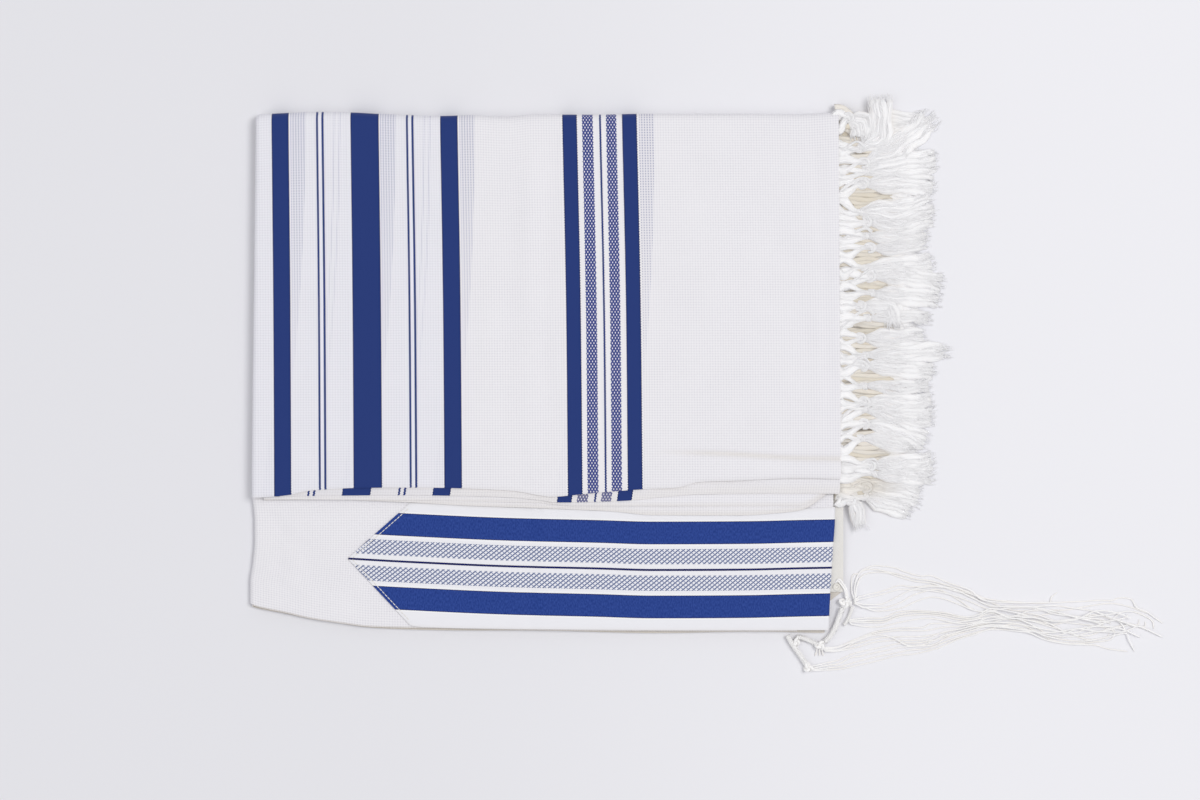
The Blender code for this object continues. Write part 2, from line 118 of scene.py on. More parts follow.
# ---- mesh tools ----------------------------------------------------------
def make(name, verts, faces, mat, flat=None, painted_shade=None):
    mesh = bpy.data.meshes.new(name)
    mesh.from_pydata((np.asarray(verts) * MM).tolist(), [], faces)
    # the FLOAT attribute holds painted shade: how far each vertex's colour is darkened towards a shade colour in its
    # material
    for label, kind, data in (("flat", "FLOAT_VECTOR", flat), ("painted_shade", "FLOAT", painted_shade)):
        if data is None:
            continue
        attribute = mesh.attributes.new(label, kind, "POINT")
        key = "vector" if kind == "FLOAT_VECTOR" else "value"
        attribute.data.foreach_set(key, np.asarray(data, np.float32).ravel())
    mesh.materials.append(mat)
    mesh.shade_smooth()
    obj = bpy.data.objects.new(name, mesh)
    scene.collection.objects.link(obj)
    return obj


def shell(name, outer, thick, flat, mat, painted_shade=None, side=1.0, inside=0.35):
    """A closed thin shell under a grid of outer points."""
    outer = np.asarray(outer, float)
    rows, cols = outer.shape[:2]
    n = np.cross(np.gradient(outer, axis=0), np.gradient(outer, axis=1))
    n = side * n / np.maximum(np.linalg.norm(n, axis=2, keepdims=True), 1e-9)
    inner = outer - n * thick
    half = rows * cols
    verts = np.vstack([outer.reshape(-1, 3), inner.reshape(-1, 3)])
    r, c = np.meshgrid(np.arange(rows - 1), np.arange(cols - 1), indexing="ij")
    a = (r * cols + c).ravel()
    quads = np.stack([a, a + 1, a + cols + 1, a + cols], 1)
    if side < 0:
        quads = quads[:, ::-1]
    under = quads[:, ::-1] + half
    ring = ([k for k in range(cols)] + [k * cols + cols - 1 for k in range(1, rows)]
            + [(rows - 1) * cols + k for k in range(cols - 2, -1, -1)]
            + [k * cols for k in range(rows - 2, 0, -1)])
    rim = []
    for k in range(len(ring)):
        p, q = ring[k], ring[(k + 1) % len(ring)]
        rim.append((q, p, p + half, q + half) if side > 0 else (p, q, q + half, p + half))
    faces = quads.tolist() + under.tolist() + rim
    f2 = np.asarray(flat, float).reshape(-1, 3)
    # painted shade: the inner face gets the outer face's painted shade plus inside
    t = np.zeros(half) if painted_shade is None else np.asarray(painted_shade, float).ravel()
    obj = make(name, verts, faces, mat, np.vstack([f2, f2]),
               np.concatenate([t, t + inside]))
    obj.data.set_sharp_from_angle(angle=math.radians(50))
    return obj


def tubes(paths, radius, sides, lobes=0.0, pitch=3.0):
    """Tubes round many paths of the same number of points, as one set of arrays.

    Gives verts, faces and, for each vert, how far along and round it is.
    """
    p = np.asarray(paths, float)
    count, m = p.shape[:2]
    t = np.gradient(p, axis=1)
    t /= np.maximum(np.linalg.norm(t, axis=2, keepdims=True), 1e-9)
    up = np.array([0.13, 0.17, 0.976])
    a = np.cross(t, up)
    a /= np.maximum(np.linalg.norm(a, axis=2, keepdims=True), 1e-9)
    b = np.cross(a, t)
    run = np.concatenate([np.zeros((count, 1)), np.cumsum(
        np.linalg.norm(np.diff(p, axis=1), axis=2), axis=1)], 1)
    ang = np.linspace(0, 2 * math.pi, sides, endpoint=False)
    turn = ang[None, None, :] + 0 * run[:, :, None]
    r = np.asarray(radius, float)
    r = np.broadcast_to(r if r.ndim else r[None, None], (count, m))[:, :, None]
    r = r * (1 + lobes * np.cos(2 * (turn - 2 * math.pi * run[:, :, None] / pitch)))
    verts = (p[:, :, None, :] + r[..., None] * (
        np.cos(turn)[..., None] * a[:, :, None, :]
        + np.sin(turn)[..., None] * b[:, :, None, :]))
    base = (np.arange(count)[:, None, None] * m * sides
            + np.arange(m - 1)[None, :, None] * sides)
    k = np.arange(sides)[None, None, :]
    k2 = (k + 1) % sides
    quads = np.stack([base + k2, base + k, base + sides + k, base + sides + k2],
                     -1).reshape(-1, 4).tolist()
    for i in range(count):
        s = i * m * sides
        e = s + (m - 1) * sides
        quads.append(tuple(range(s, s + sides)))
        quads.append(tuple(range(e + sides - 1, e - 1, -1)))
    along = np.broadcast_to(run[:, :, None], turn.shape)
    flat = np.stack([along, turn * 1.0, np.zeros_like(along)], -1)
    return verts.reshape(-1, 3), quads, flat.reshape(-1, 3)


def joined(parts):
    """One set of arrays from several."""
    verts, faces, flats, start = [], [], [], 0
    for v, f, fl in parts:
        verts.append(v)
        flats.append(fl)
        faces += [tuple(i + start for i in face) for face in f]
        start += len(v)
    return np.vstack(verts), faces, np.vstack(flats)


# ---- materials -----------------------------------------------------------
class Graph:
    """Short hand for a material's nodes."""

    def __init__(self, name, roughness=0.85, specular=0.25, sheen=0.0):
        self.mat = bpy.data.materials.new(name)
        self.mat.use_nodes = True
        self.tree = self.mat.node_tree
        self.shader = self.tree.nodes["Principled BSDF"]
        self.shader.inputs["Roughness"].default_value = roughness
        self.shader.inputs["Specular IOR Level"].default_value = specular
        self.shader.inputs["Sheen Weight"].default_value = sheen
        self.shader.inputs["Sheen Roughness"].default_value = 0.6

    def put(self, socket, value):
        if isinstance(value, bpy.types.NodeSocket):
            self.tree.links.new(value, socket)
        elif value is not None:
            socket.default_value = value

    def m(self, op, a, b=None, c=None):
        node = self.tree.nodes.new("ShaderNodeMath")
        node.operation = op
        for socket, value in zip(node.inputs, (a, b, c)):
            self.put(socket, value)
        return node.outputs[0]

    def smooth(self, x, lo, hi):
        node = self.tree.nodes.new("ShaderNodeMapRange")
        node.interpolation_type = "SMOOTHSTEP"
        self.put(node.inputs["Value"], x)
        node.inputs["From Min"].default_value = lo
        node.inputs["From Max"].default_value = hi
        return node.outputs["Result"]

    def mix(self, fac, a, b):
        node = self.tree.nodes.new("ShaderNodeMix")
        node.data_type = "RGBA"
        self.put(node.inputs[0], fac)
        for socket, value in ((node.inputs[6], a), (node.inputs[7], b)):
            self.put(socket, (*value, 1.0) if isinstance(value, tuple) else value)
        return node.outputs[2]

    def attribute(self, name):
        node = self.tree.nodes.new("ShaderNodeAttribute")
        node.attribute_name = name
        return node

    def split(self, vector):
        node = self.tree.nodes.new("ShaderNodeSeparateXYZ")
        self.put(node.inputs[0], vector)
        return node.outputs

    def combine(self, x, y, z):
        node = self.tree.nodes.new("ShaderNodeCombineXYZ")
        for socket, value in zip(node.inputs, (x, y, z)):
            self.put(socket, value)
        return node.outputs[0]

    def noise(self, vector, scale, detail=2.0):
        node = self.tree.nodes.new("ShaderNodeTexNoise")
        self.put(node.inputs["Vector"], vector)
        node.inputs["Scale"].default_value = scale
        node.inputs["Detail"].default_value = detail
        return node.outputs["Fac"]

    def zones(self, x, spans):
        """1 inside the spans of x, 0 outside."""
        total = None
        for lo, hi in spans:
            one = self.m("COMPARE", x, (lo + hi) / 2, (hi - lo) / 2)
            total = one if total is None else self.m("ADD", total, one)
        return total

    def wave(self, x, period, phase=0.0):
        return self.m("COSINE", self.m("ADD", self.m("MULTIPLY", x, 2 * math.pi / period),
                                       phase))

    def bump(self, height, distance_mm, strength=1.0):
        node = self.tree.nodes.new("ShaderNodeBump")
        node.inputs["Strength"].default_value = strength
        node.inputs["Distance"].default_value = distance_mm * MM
        self.put(node.inputs["Height"], height)
        self.put(self.shader.inputs["Normal"], node.outputs[0])

    def colour(self, value):
        self.put(self.shader.inputs["Base Color"], value)


WHITE = (0.890, 0.880, 0.910)
COOL = (0.862, 0.860, 0.915)            # among the blue stripes
# warm painted shade on the white cloth, mixed in by the painted shade attribute
PAINTED_WARM_SHADE = (0.66, 0.60, 0.50)
NAVY = (0.016, 0.040, 0.190)
WEAVE_U, WEAVE_V = 1.81, 1.75          # the open weave's repeat

# Woven stripes along the length, as spans of u.
BLUE = [(-219.3, -207.6), (-165.3, -145.9), (-103.7, -91.7), (-19.9, -9.9),
        (20.9, 31.0)]
LINES = [(-188.9, -187.5), (-185.2, -183.7), (-127.2, -125.8), (-123.5, -122.0),
         (5.3, 6.6)]
DOTTED = [(-6.4, 1.0), (10.0, 17.0)]
DENSE = [(-220.6, -205.6), (-189.8, -182.9), (-166.8, -143.9), (-128.2, -121.2),
         (-104.9, -89.7), (-21.5, 33.0)]
RIMS = [(a, a + 0.7) for a, b in BLUE] + [(b - 0.7, b) for a, b in BLUE]
DENSE = [(-220.6, -206.4), (-189.6, -183.0), (-166.8, -145.0), (-128.2, -121.5),
         (-104.5, -90.4), (-21.5, 32.4)]

# How far the next ply's stripes stand to the right of these, by v: a + b v + c v v.
ASKEW = (2.68, 0.0977, -0.000258)


def cloth_material(name, ghost=False):
    """Open-weave wool with woven stripes, charted in its own flat sizes."""
    g = Graph(name, roughness=0.86, specular=0.12, sheen=0.06)
    u, v, haze = g.split(g.attribute("flat").outputs["Vector"])[:3]
    painted_shade = g.attribute("painted_shade").outputs["Fac"]
    jag = g.m("MULTIPLY", g.wave(v, WEAVE_V), 0.20)
    us = g.m("ADD", u, jag)
    navy = g.m("ADD", g.zones(us, BLUE), g.zones(us, LINES))
    dotted = g.zones(us, DOTTED)
    dense = g.zones(us, DENSE)
    # the open weave: thread groups with small holes where they cross
    cu = g.m("MULTIPLY_ADD", g.wave(u, WEAVE_U), 0.5, 0.5)
    cv = g.m("MULTIPLY_ADD", g.wave(v, WEAVE_V), 0.5, 0.5)
    lu, lv = g.smooth(cu, 0.45, 1.0), g.smooth(cv, 0.45, 1.0)
    hole = g.m("MULTIPLY", lu, lv)
    place = g.combine(u, v, 0.0)
    patchy = g.noise(place, 0.035, 3.0)
    fuzz = g.noise(place, 0.9, 2.0)
    groove = g.m("MAXIMUM", lu, lv)
    net = g.m("ADD", g.m("MULTIPLY", groove, 0.4), g.m("MULTIPLY", hole, 0.6))
    open_ = g.m("SUBTRACT", 1.0, dense)
    depth = g.m("MULTIPLY", net, g.m("MULTIPLY_ADD", open_, 0.8, 0.2))
    # stripes with dots in a half-drop repeat
    dots = g.smooth(g.m("MULTIPLY", g.wave(u, 2.1, 0.6), g.wave(v, 3.55)), 0.25, 0.8)
    base = g.mix(g.smooth(u, -115.0, -75.0), COOL, WHITE)
    # painted shade: the weave's holes and grooves are darkened for the shaded ply seen through them, more in some
    # patches than in others
    white = g.mix(g.m("MULTIPLY", depth, g.m("MULTIPLY_ADD", patchy, 0.50, 0.16)),
                  base, (0.62, 0.61, 0.68))
    white = g.mix(g.m("MULTIPLY", g.m("SUBTRACT", fuzz, 0.5), 0.10), white,
                  (0.70, 0.69, 0.72))
    if ghost:
        # the next ply's stripes show through the holes, where it lies askew
        shift = g.m("MULTIPLY_ADD", v, g.m("MULTIPLY_ADD", v, ASKEW[2], ASKEW[1]), ASKEW[0])
        u2 = g.m("SUBTRACT", u, shift)
        seen = g.m("ADD", g.zones(u2, BLUE),
                   g.m("MULTIPLY", g.m("ADD", g.zones(u2, DOTTED), g.zones(u2, LINES)), 0.6))
        seen = g.m("MULTIPLY", seen, open_)
        wide_hole = g.m("MULTIPLY", g.smooth(cu, 0.35, 0.9), g.smooth(cv, 0.30, 0.9))
        dots2 = g.m("ADD", g.m("MULTIPLY_ADD", wide_hole, 0.75, 0.13),
                    g.m("MULTIPLY", lu, 0.12))
        seen = g.m("MULTIPLY", g.m("MULTIPLY", seen, dots2), haze)
        white = g.mix(seen, white, (0.33, 0.34, 0.50))
    blue = g.mix(g.m("MULTIPLY", g.wave(u, 0.45), 0.12), NAVY, (0.030, 0.056, 0.24))
    blue = g.mix(g.zones(us, RIMS), blue, (0.010, 0.022, 0.115))
    col = g.mix(navy, white, blue)
    col = g.mix(g.m("MULTIPLY", dotted, g.m("SUBTRACT", 1.0, dots)), col,
                (0.055, 0.075, 0.27))
    # painted shade: warm shade on the white and darker navy on the stripes, by the painted shade attribute
    col = g.mix(painted_shade, col, g.mix(navy, PAINTED_WARM_SHADE, NAVY))
    g.colour(col)
    threads = g.m("MULTIPLY", g.wave(u, WEAVE_U / 4), g.wave(v, WEAVE_V / 4))
    satin = g.m("MULTIPLY", g.wave(u, 0.5), 0.25)
    height = g.m("ADD", g.m("MULTIPLY", depth, -1.0),
                 g.m("ADD", g.m("MULTIPLY", threads, g.m("MULTIPLY", open_, 0.14)),
                     g.m("MULTIPLY", satin, dense)))
    height = g.m("ADD", height, g.m("MULTIPLY", patchy, 0.6))
    g.bump(height, 0.16, 0.9)
    rough = g.m("MULTIPLY_ADD", navy, -0.25, 0.88)
    g.put(g.shader.inputs["Roughness"], rough)
    return g.mat


def band_material():
    """Woven neckband: satin blues, a fine navy line and two lattice stripes."""
    g = Graph("atarah_satin", roughness=0.6, specular=0.12, sheen=0.02)
    u, w, _ = g.split(g.attribute("flat").outputs["Vector"])[:3]
    painted_shade = g.attribute("painted_shade").outputs["Fac"]
    far = g.m("ABSOLUTE", g.m("ADD", w, g.m("MULTIPLY", g.wave(u, 1.1), 0.08)))
    blue = g.zones(far, [(17.5, 33.0)])
    line = g.zones(far, [(-0.9, 0.72)])
    edge = g.zones(far, [(16.2, 17.5), (33.0, 34.1)])
    lattice = g.zones(far, [(3.9, 14.2)])
    a = g.m("MULTIPLY", u, 2 * math.pi / 3.64)
    b = g.m("MULTIPLY", w, 2 * math.pi / 2.95)
    dash = g.m("MULTIPLY_ADD", g.m("COSINE", g.m("ADD", a, b)), -0.16, 0.9)
    rise = g.m("MULTIPLY", g.m("COSINE", g.m("SUBTRACT", a, b)), dash)
    fall = g.m("MULTIPLY", g.m("COSINE", g.m("ADD", a, b)), 0.7)
    net = g.m("MAXIMUM", rise, fall)
    halo, core = g.smooth(net, 0.05, 0.7), g.smooth(net, 0.42, 0.86)
    place = g.combine(u, w, 0.0)
    patchy = g.noise(place, 0.05, 3.0)
    white = g.mix(g.m("MULTIPLY", patchy, 0.25), (0.885, 0.885, 0.925), (0.80, 0.80, 0.83))
    white = g.mix(edge, white, (0.93, 0.93, 0.95))
    col = g.mix(g.m("MULTIPLY", lattice, g.m("MULTIPLY", halo, 0.88)), white,
                (0.37, 0.44, 0.66))
    col = g.mix(g.m("MULTIPLY", lattice, g.m("MULTIPLY", core, 0.97)), col,
                (0.045, 0.068, 0.185))
    warp = g.smooth(g.noise(g.combine(u, g.m("MULTIPLY", w, 0.4), 0.0), 1.3, 2.0), 0.3, 0.7)
    satin = g.mix(warp, (0.011, 0.039, 0.225), (0.027, 0.068, 0.315))
    satin = g.mix(g.zones(far, [(17.4, 18.0), (32.5, 33.1)]), satin, (0.006, 0.016, 0.12))
    col = g.mix(blue, col, satin)
    col = g.mix(line, col, (0.008, 0.012, 0.10))
    # painted shade: warm shade on the white and darker blue on the satin, by the painted shade attribute
    col = g.mix(painted_shade, col, g.mix(blue, PAINTED_WARM_SHADE, (0.02, 0.04, 0.2)))
    g.colour(col)
    ribs = g.m("ADD", g.m("MULTIPLY", g.wave(w, 0.55), 0.3),
               g.m("MULTIPLY", g.wave(u, 0.7), 0.2))
    height = g.m("ADD", ribs, g.m("MULTIPLY", g.m("MULTIPLY", lattice, core), -0.9))
    height = g.m("ADD", height, g.m("MULTIPLY", blue, 0.5))
    g.bump(height, 0.10, 0.9)
    g.put(g.shader.inputs["Roughness"], g.m("MULTIPLY_ADD", blue, -0.10, 0.60))
    return g.mat


def tape_material():
    """Herringbone twill of the corner patch."""
    g = Graph("tape_herringbone", roughness=0.8, specular=0.2, sheen=0.2)
    u, v, _ = g.split(g.attribute("flat").outputs["Vector"])[:3]
    zig = g.m("MULTIPLY", g.m("ABSOLUTE", g.m("SUBTRACT", g.m("FRACT", g.m(
        "DIVIDE", u, 3.2)), 0.5)), 3.2)
    ribs = g.wave(g.m("ADD", v, zig), 0.95)
    fuzz = g.noise(g.combine(u, v, 0.0), 0.8, 2.0)
    # painted shade: the twill's grooves, low in the bump, are darker
    col = g.mix(g.smooth(ribs, -0.2, 1.0), (0.90, 0.885, 0.86), (0.78, 0.76, 0.71))
    g.colour(g.mix(g.m("MULTIPLY", fuzz, 0.2), col, (0.9, 0.88, 0.84)))
    g.bump(g.m("MULTIPLY", ribs, -0.6), 0.14, 0.9)
    return g.mat


def yarn_material(name, light, deep, pitch=1.1, glow=0.0):
    """Twisted wool yarn, with painted shade where it lies deep among its neighbours."""
    g = Graph(name, roughness=0.88, specular=0.12, sheen=0.10)
    g.shader.inputs["Subsurface Weight"].default_value = glow
    g.shader.inputs["Subsurface Radius"].default_value = (1.0, 0.97, 0.94)
    g.shader.inputs["Subsurface Scale"].default_value = 1.6 * MM
    # painted light: a faint glow standing in for light passed on from yarn to yarn, beyond the few bounces that are
    # traced
    g.shader.inputs["Emission Color"].default_value = (1.0, 0.985, 0.985, 1.0)
    g.shader.inputs["Emission Strength"].default_value = 0.06
    along, turn, _ = g.split(g.attribute("flat").outputs["Vector"])[:3]
    painted_shade = g.attribute("painted_shade").outputs["Fac"]
    twist = g.m("COSINE", g.m("ADD", g.m("MULTIPLY", along, 2 * math.pi / pitch),
                              g.m("MULTIPLY", turn, 2.0)))
    fuzz = g.noise(g.combine(along, turn, 0.0), 0.7, 3.0)
    # painted shade: mixed towards deep where the painted shade attribute is high
    col = g.mix(painted_shade, light, deep)
    # painted shade in the grooves of the twist
    col = g.mix(g.m("MULTIPLY", g.smooth(twist, 0.3, 1.0), 0.12), col,
                tuple(c * 0.78 for c in light))
    g.colour(g.mix(g.m("MULTIPLY", fuzz, 0.12), col, tuple(c * 0.86 for c in light)))
    g.bump(g.m("ADD", g.m("MULTIPLY", twist, -0.5), fuzz), 0.08, 0.8)
    return g.mat


def lock_material():
    """A lock of wool: many yarns lying side by side round its axis."""
    g = Graph("fringe_lock", roughness=0.9, specular=0.10, sheen=0.10)
    g.shader.inputs["Subsurface Weight"].default_value = 0.35
    g.shader.inputs["Subsurface Radius"].default_value = (1.0, 0.97, 0.94)
    g.shader.inputs["Subsurface Scale"].default_value = 1.6 * MM
    # painted light: a faint glow standing in for light passed on from yarn to yarn, beyond the few bounces that are
    # traced
    g.shader.inputs["Emission Color"].default_value = (1.0, 0.985, 0.985, 1.0)
    g.shader.inputs["Emission Strength"].default_value = 0.06
    along, turn, count = g.split(g.attribute("flat").outputs["Vector"])[:3]
    painted_shade = g.attribute("painted_shade").outputs["Fac"]
    drift = g.m("MULTIPLY", g.noise(g.combine(g.m("MULTIPLY", along, 0.10), count, 0.0),
                                    1.0, 2.0), 4.0)
    yarns = g.m("COSINE", g.m("ADD", g.m("MULTIPLY", turn, 15.0), drift))
    fine = g.noise(g.combine(g.m("MULTIPLY", along, 0.12), g.m("MULTIPLY", turn, 3.2),
                             count), 1.6, 3.0)
    groove = g.smooth(yarns, 0.1, 1.0)
    light, deep = (0.955, 0.95, 0.965), (0.72, 0.64, 0.50)
    # painted shade: mixed towards deep by the painted shade attribute, and darker in the grooves between the yarns
    col = g.mix(painted_shade, light, deep)
    col = g.mix(g.m("MULTIPLY", groove, 0.14), col, (0.72, 0.69, 0.68))
    col = g.mix(g.m("MULTIPLY", g.smooth(fine, 0.52, 0.75), 0.14), col, (0.76, 0.72, 0.68))
    g.colour(col)
    g.bump(g.m("SUBTRACT", g.m("MULTIPLY", fine, 0.8), g.m("MULTIPLY", groove, 0.7)),
           0.22, 0.8)
    return g.mat


wool_lock = lock_material()
cloth = cloth_material("cloth_open_weave")
cloth_top_mat = cloth_material("cloth_open_weave_over_stripes", ghost=True)
satin_band = band_material()
tape = tape_material()
yarn = yarn_material("fringe_wool", (0.955, 0.95, 0.965), (0.72, 0.64, 0.50), glow=0.35)
twine = yarn_material("tassel_twine", (0.95, 0.94, 0.935), (0.80, 0.74, 0.64), 1.6, glow=0.35)
thread = yarn_material("sewing_thread", (0.84, 0.82, 0.77), (0.60, 0.53, 0.42), 0.6)

# ---- corner tassels (tzitzit): cords on the table ------------------------
# Each row: the knot or winding it leaves, then its route as x,y pairs.
STRAND = 0.95           # thickness of a tassel string
STRANDS = [
    ("a",
     "177.4,-163.5 175.4,-156.0 176.0,-146.4 179.7,-145.1 184.9,-142.5 "
     "193.8,-142.5 205.7,-145.1 211.5,-146.6 220.4,-148.8 227.9,-149.6 "
     "241.2,-153.2 255.9,-157.7 270.8,-162.8 307.8,-165.3 311.9,-161.4 "
     "316.3,-157.8"),
    ("a",
     "178.1,-162.8 177.4,-154.6 180.8,-144.4 189.4,-139.9 197.2,-139.9 "
     "205.7,-141.4 211.5,-143.7 222.7,-146.6 230.0,-146.6 241.2,-151.1 "
     "255.9,-156.2 270.9,-164.2 323.5,-164.5 343.0,-163.3 353.2,-163.5 "
     "358.6,-161.8 366.5,-162.5 370.4,-168.3 377.4,-171.5 382.2,-174.7 "
     "388.3,-179.0"),
    ("a",
     "178.1,-163.5 178.8,-154.6 182.2,-147.1 189.0,-144.4 198.6,-144.4 "
     "209.5,-147.8 220.4,-150.5 231.3,-151.9 243.6,-156.0 257.3,-160.8 "
     "270.9,-167.6 284.6,-167.1 300.3,-168.3 316.0,-171.3 331.7,-175.7 "
     "347.4,-177.8 363.1,-174.7 363.8,-172.3"),
    ("a",
     "179.0,-161.4 186.3,-159.4 193.8,-157.7 201.3,-155.3 208.6,-153.2 "
     "214.5,-153.9 221.8,-153.9 231.3,-153.2 242.3,-155.3 255.9,-158.7 "
     "269.6,-164.2 284.6,-170.0 298.2,-170.4 311.9,-170.1 325.5,-169.5 "
     "339.2,-167.0 352.8,-165.5 366.5,-168.0 378.8,-172.5"),
    ("a",
     "179.5,-162.8 189.0,-160.8 198.6,-158.7 208.1,-156.0 217.7,-156.0 "
     "228.6,-156.7 240.9,-158.7 254.5,-163.5 269.6,-169.6 284.6,-173.9 "
     "299.6,-170.1 314.6,-171.2 329.6,-175.3 344.6,-176.1 352.8,-179.5"),
    ("a",
     "182.0,-165.8 189.0,-166.2 196.8,-165.8 205.7,-161.4 212.2,-158.0 "
     "219.0,-155.5 230.0,-153.9 241.2,-154.6 248.4,-156.9 259.3,-162.1 "
     "270.9,-166.9 296.9,-167.6 310.5,-166.9 325.5,-168.3 341.2,-171.0 "
     "354.9,-175.8 368.9,-181.0 374.3,-181.7 388.3,-188.7"),
    ("a",
     "182.0,-168.1 189.7,-168.3 198.2,-168.1 208.6,-165.1 213.6,-162.1 "
     "219.0,-159.2 230.0,-156.2 237.5,-156.9 248.4,-162.8 259.7,-170.3 "
     "270.9,-171.7 284.6,-177.0 298.9,-177.2 313.2,-179.8 327.6,-176.5 "
     "341.9,-173.2 356.2,-177.1 370.6,-180.1 371.9,-176.4"),
    ("a",
     "180.8,-166.9 191.1,-170.3 200.6,-170.3 210.2,-168.3 219.0,-164.2 "
     "228.6,-161.4 238.2,-162.1 249.1,-166.2 260.0,-170.3 270.9,-170.3 "
     "284.6,-168.5 300.3,-168.8 316.0,-172.7 331.7,-174.8 347.4,-179.0 "
     "359.7,-171.7"),
    ("m",
     "174.0,-176.5 185.6,-175.4 196.8,-175.4 205.7,-171.7 212.9,-170.7 "
     "226.4,-170.7 238.2,-171.7 248.4,-174.0 255.9,-174.4 263.4,-172.4 "
     "270.8,-168.9 284.6,-171.0 298.2,-174.6 311.9,-177.4 325.5,-176.1 "
     "339.2,-174.4 352.8,-172.5 366.5,-171.0 380.1,-176.4 382.2,-182.9"),
    ("m",
     "174.0,-177.8 185.6,-178.5 196.5,-178.5 206.1,-175.1 215.0,-173.7 "
     "226.6,-173.0 238.2,-174.4 249.1,-176.5 259.3,-176.5 270.9,-172.4 "
     "284.6,-175.8 299.6,-174.4 314.6,-172.5 329.6,-174.3 344.6,-176.6 "
     "347.4,-180.3"),
    ("m",
     "174.0,-179.2 184.2,-181.2 196.5,-181.2 208.1,-178.5 218.4,-176.5 "
     "228.6,-175.8 238.8,-177.1 250.4,-179.2 261.4,-177.8 270.9,-174.4 "
     "284.6,-174.0 297.5,-174.6 310.5,-179.1 323.5,-185.6 336.5,-187.5 "
     "349.4,-183.4 362.4,-180.4 375.4,-181.6 376.0,-177.9"),
    ("m",
     "174.7,-177.1 186.3,-177.1 197.2,-177.1 206.1,-173.7 214.3,-172.0 "
     "226.6,-171.7 238.2,-173.0 249.1,-175.1 259.3,-175.4 270.9,-171.0 "
     "284.6,-175.4 298.9,-174.9 313.2,-177.4 327.6,-176.5 341.9,-170.6 "
     "356.2,-171.6 366.5,-175.8"),
    ("b",
     "157.6,-195.6 167.2,-194.7 178.1,-190.1 188.6,-185.8 198.2,-183.6 "
     "208.6,-182.1 223.4,-182.1 230.0,-179.2 241.2,-179.2 252.3,-177.7 "
     "267.1,-175.4 284.6,-174.4 300.3,-172.8 316.0,-177.8 331.7,-179.5 "
     "347.4,-181.8 358.3,-185.6"),
    ("b",
     "157.6,-196.2 165.8,-195.6 178.1,-190.8 189.0,-186.7 199.9,-184.6 "
     "211.5,-184.0 225.2,-184.0 238.8,-181.9 252.5,-180.5 268.2,-177.1 "
     "284.6,-175.3 298.2,-179.8 311.9,-187.4 325.5,-187.9 339.2,-185.2 "
     "352.8,-183.2 366.5,-180.1 378.8,-183.8"),
    ("b",
     "157.6,-196.9 167.2,-196.9 178.1,-191.7 189.4,-187.4 198.2,-187.4 "
     "205.7,-190.1 212.9,-193.9 223.4,-193.9 231.5,-191.0 238.2,-187.4 "
     "244.8,-185.8 255.9,-182.9 269.6,-180.2 284.6,-182.0 299.6,-184.9 "
     "314.6,-184.9 329.6,-182.8 344.6,-184.5 359.7,-184.8 370.6,-180.8"),
    ("b",
     "156.9,-196.9 165.8,-197.6 178.1,-193.5 189.7,-190.1 201.3,-188.7 "
     "211.5,-188.1 223.1,-188.1 235.4,-186.0 247.7,-183.3 260.0,-180.5 "
     "270.9,-178.5 284.6,-175.7 297.5,-177.4 310.5,-180.9 323.5,-185.4 "
     "336.5,-190.0 349.4,-189.0 351.5,-186.2"),
    ("b",
     "156.2,-197.6 164.4,-198.3 178.1,-195.6 191.1,-192.2 203.3,-190.8 "
     "213.6,-190.8 225.2,-190.1 237.5,-185.3 250.4,-182.6 266.1,-178.5 "
     "284.6,-178.8 298.9,-181.4 313.2,-184.1 327.6,-185.3 341.9,-181.0 "
     "356.2,-176.8 363.8,-185.6"),
    ("c",
     "148.1,-209.9 157.6,-207.9 167.2,-206.5 174.7,-202.8 182.0,-201.4 "
     "188.6,-199.7 199.9,-197.6 208.6,-195.4 219.0,-194.7 230.7,-193.9 "
     "238.2,-190.1 244.8,-187.4 257.3,-184.0 269.6,-181.2 296.9,-184.0 "
     "307.8,-187.4 323.5,-190.8 337.8,-190.8 351.5,-188.1 362.6,-185.7 "
     "364.9,-190.4 368.9,-198.2"),
    ("c",
     "148.1,-210.6 159.0,-209.6 168.5,-208.5 179.5,-205.1 191.1,-202.4 "
     "203.3,-199.7 215.0,-197.6 227.2,-196.2 238.8,-192.2 250.4,-188.1 "
     "266.1,-184.0 284.6,-179.7 298.2,-182.8 311.9,-190.4 325.5,-192.7 "
     "339.2,-192.2 352.8,-190.0 355.6,-184.5"),
    ("c",
     "147.4,-208.5 156.9,-206.5 165.8,-204.4 175.4,-200.3 186.3,-197.6 "
     "197.9,-194.9 209.5,-192.8 221.8,-192.2 233.4,-190.1 245.7,-186.0 "
     "259.3,-181.9 270.9,-179.9 284.6,-181.2 299.6,-184.2 314.6,-187.3 "
     "329.6,-183.0 344.6,-180.9 359.7,-182.9 373.3,-188.7"),
    ("c",
     "148.1,-211.3 160.3,-210.9 170.6,-209.9 182.2,-207.2 194.5,-204.4 "
     "208.1,-201.0 220.4,-199.7 234.1,-196.2 246.4,-190.8 259.3,-186.7 "
     "270.9,-183.3 292.1,-184.6 298.9,-186.3 307.8,-190.1 323.5,-193.2 "
     "335.8,-193.5 343.3,-194.2 350.8,-196.6 364.2,-198.2"),
]


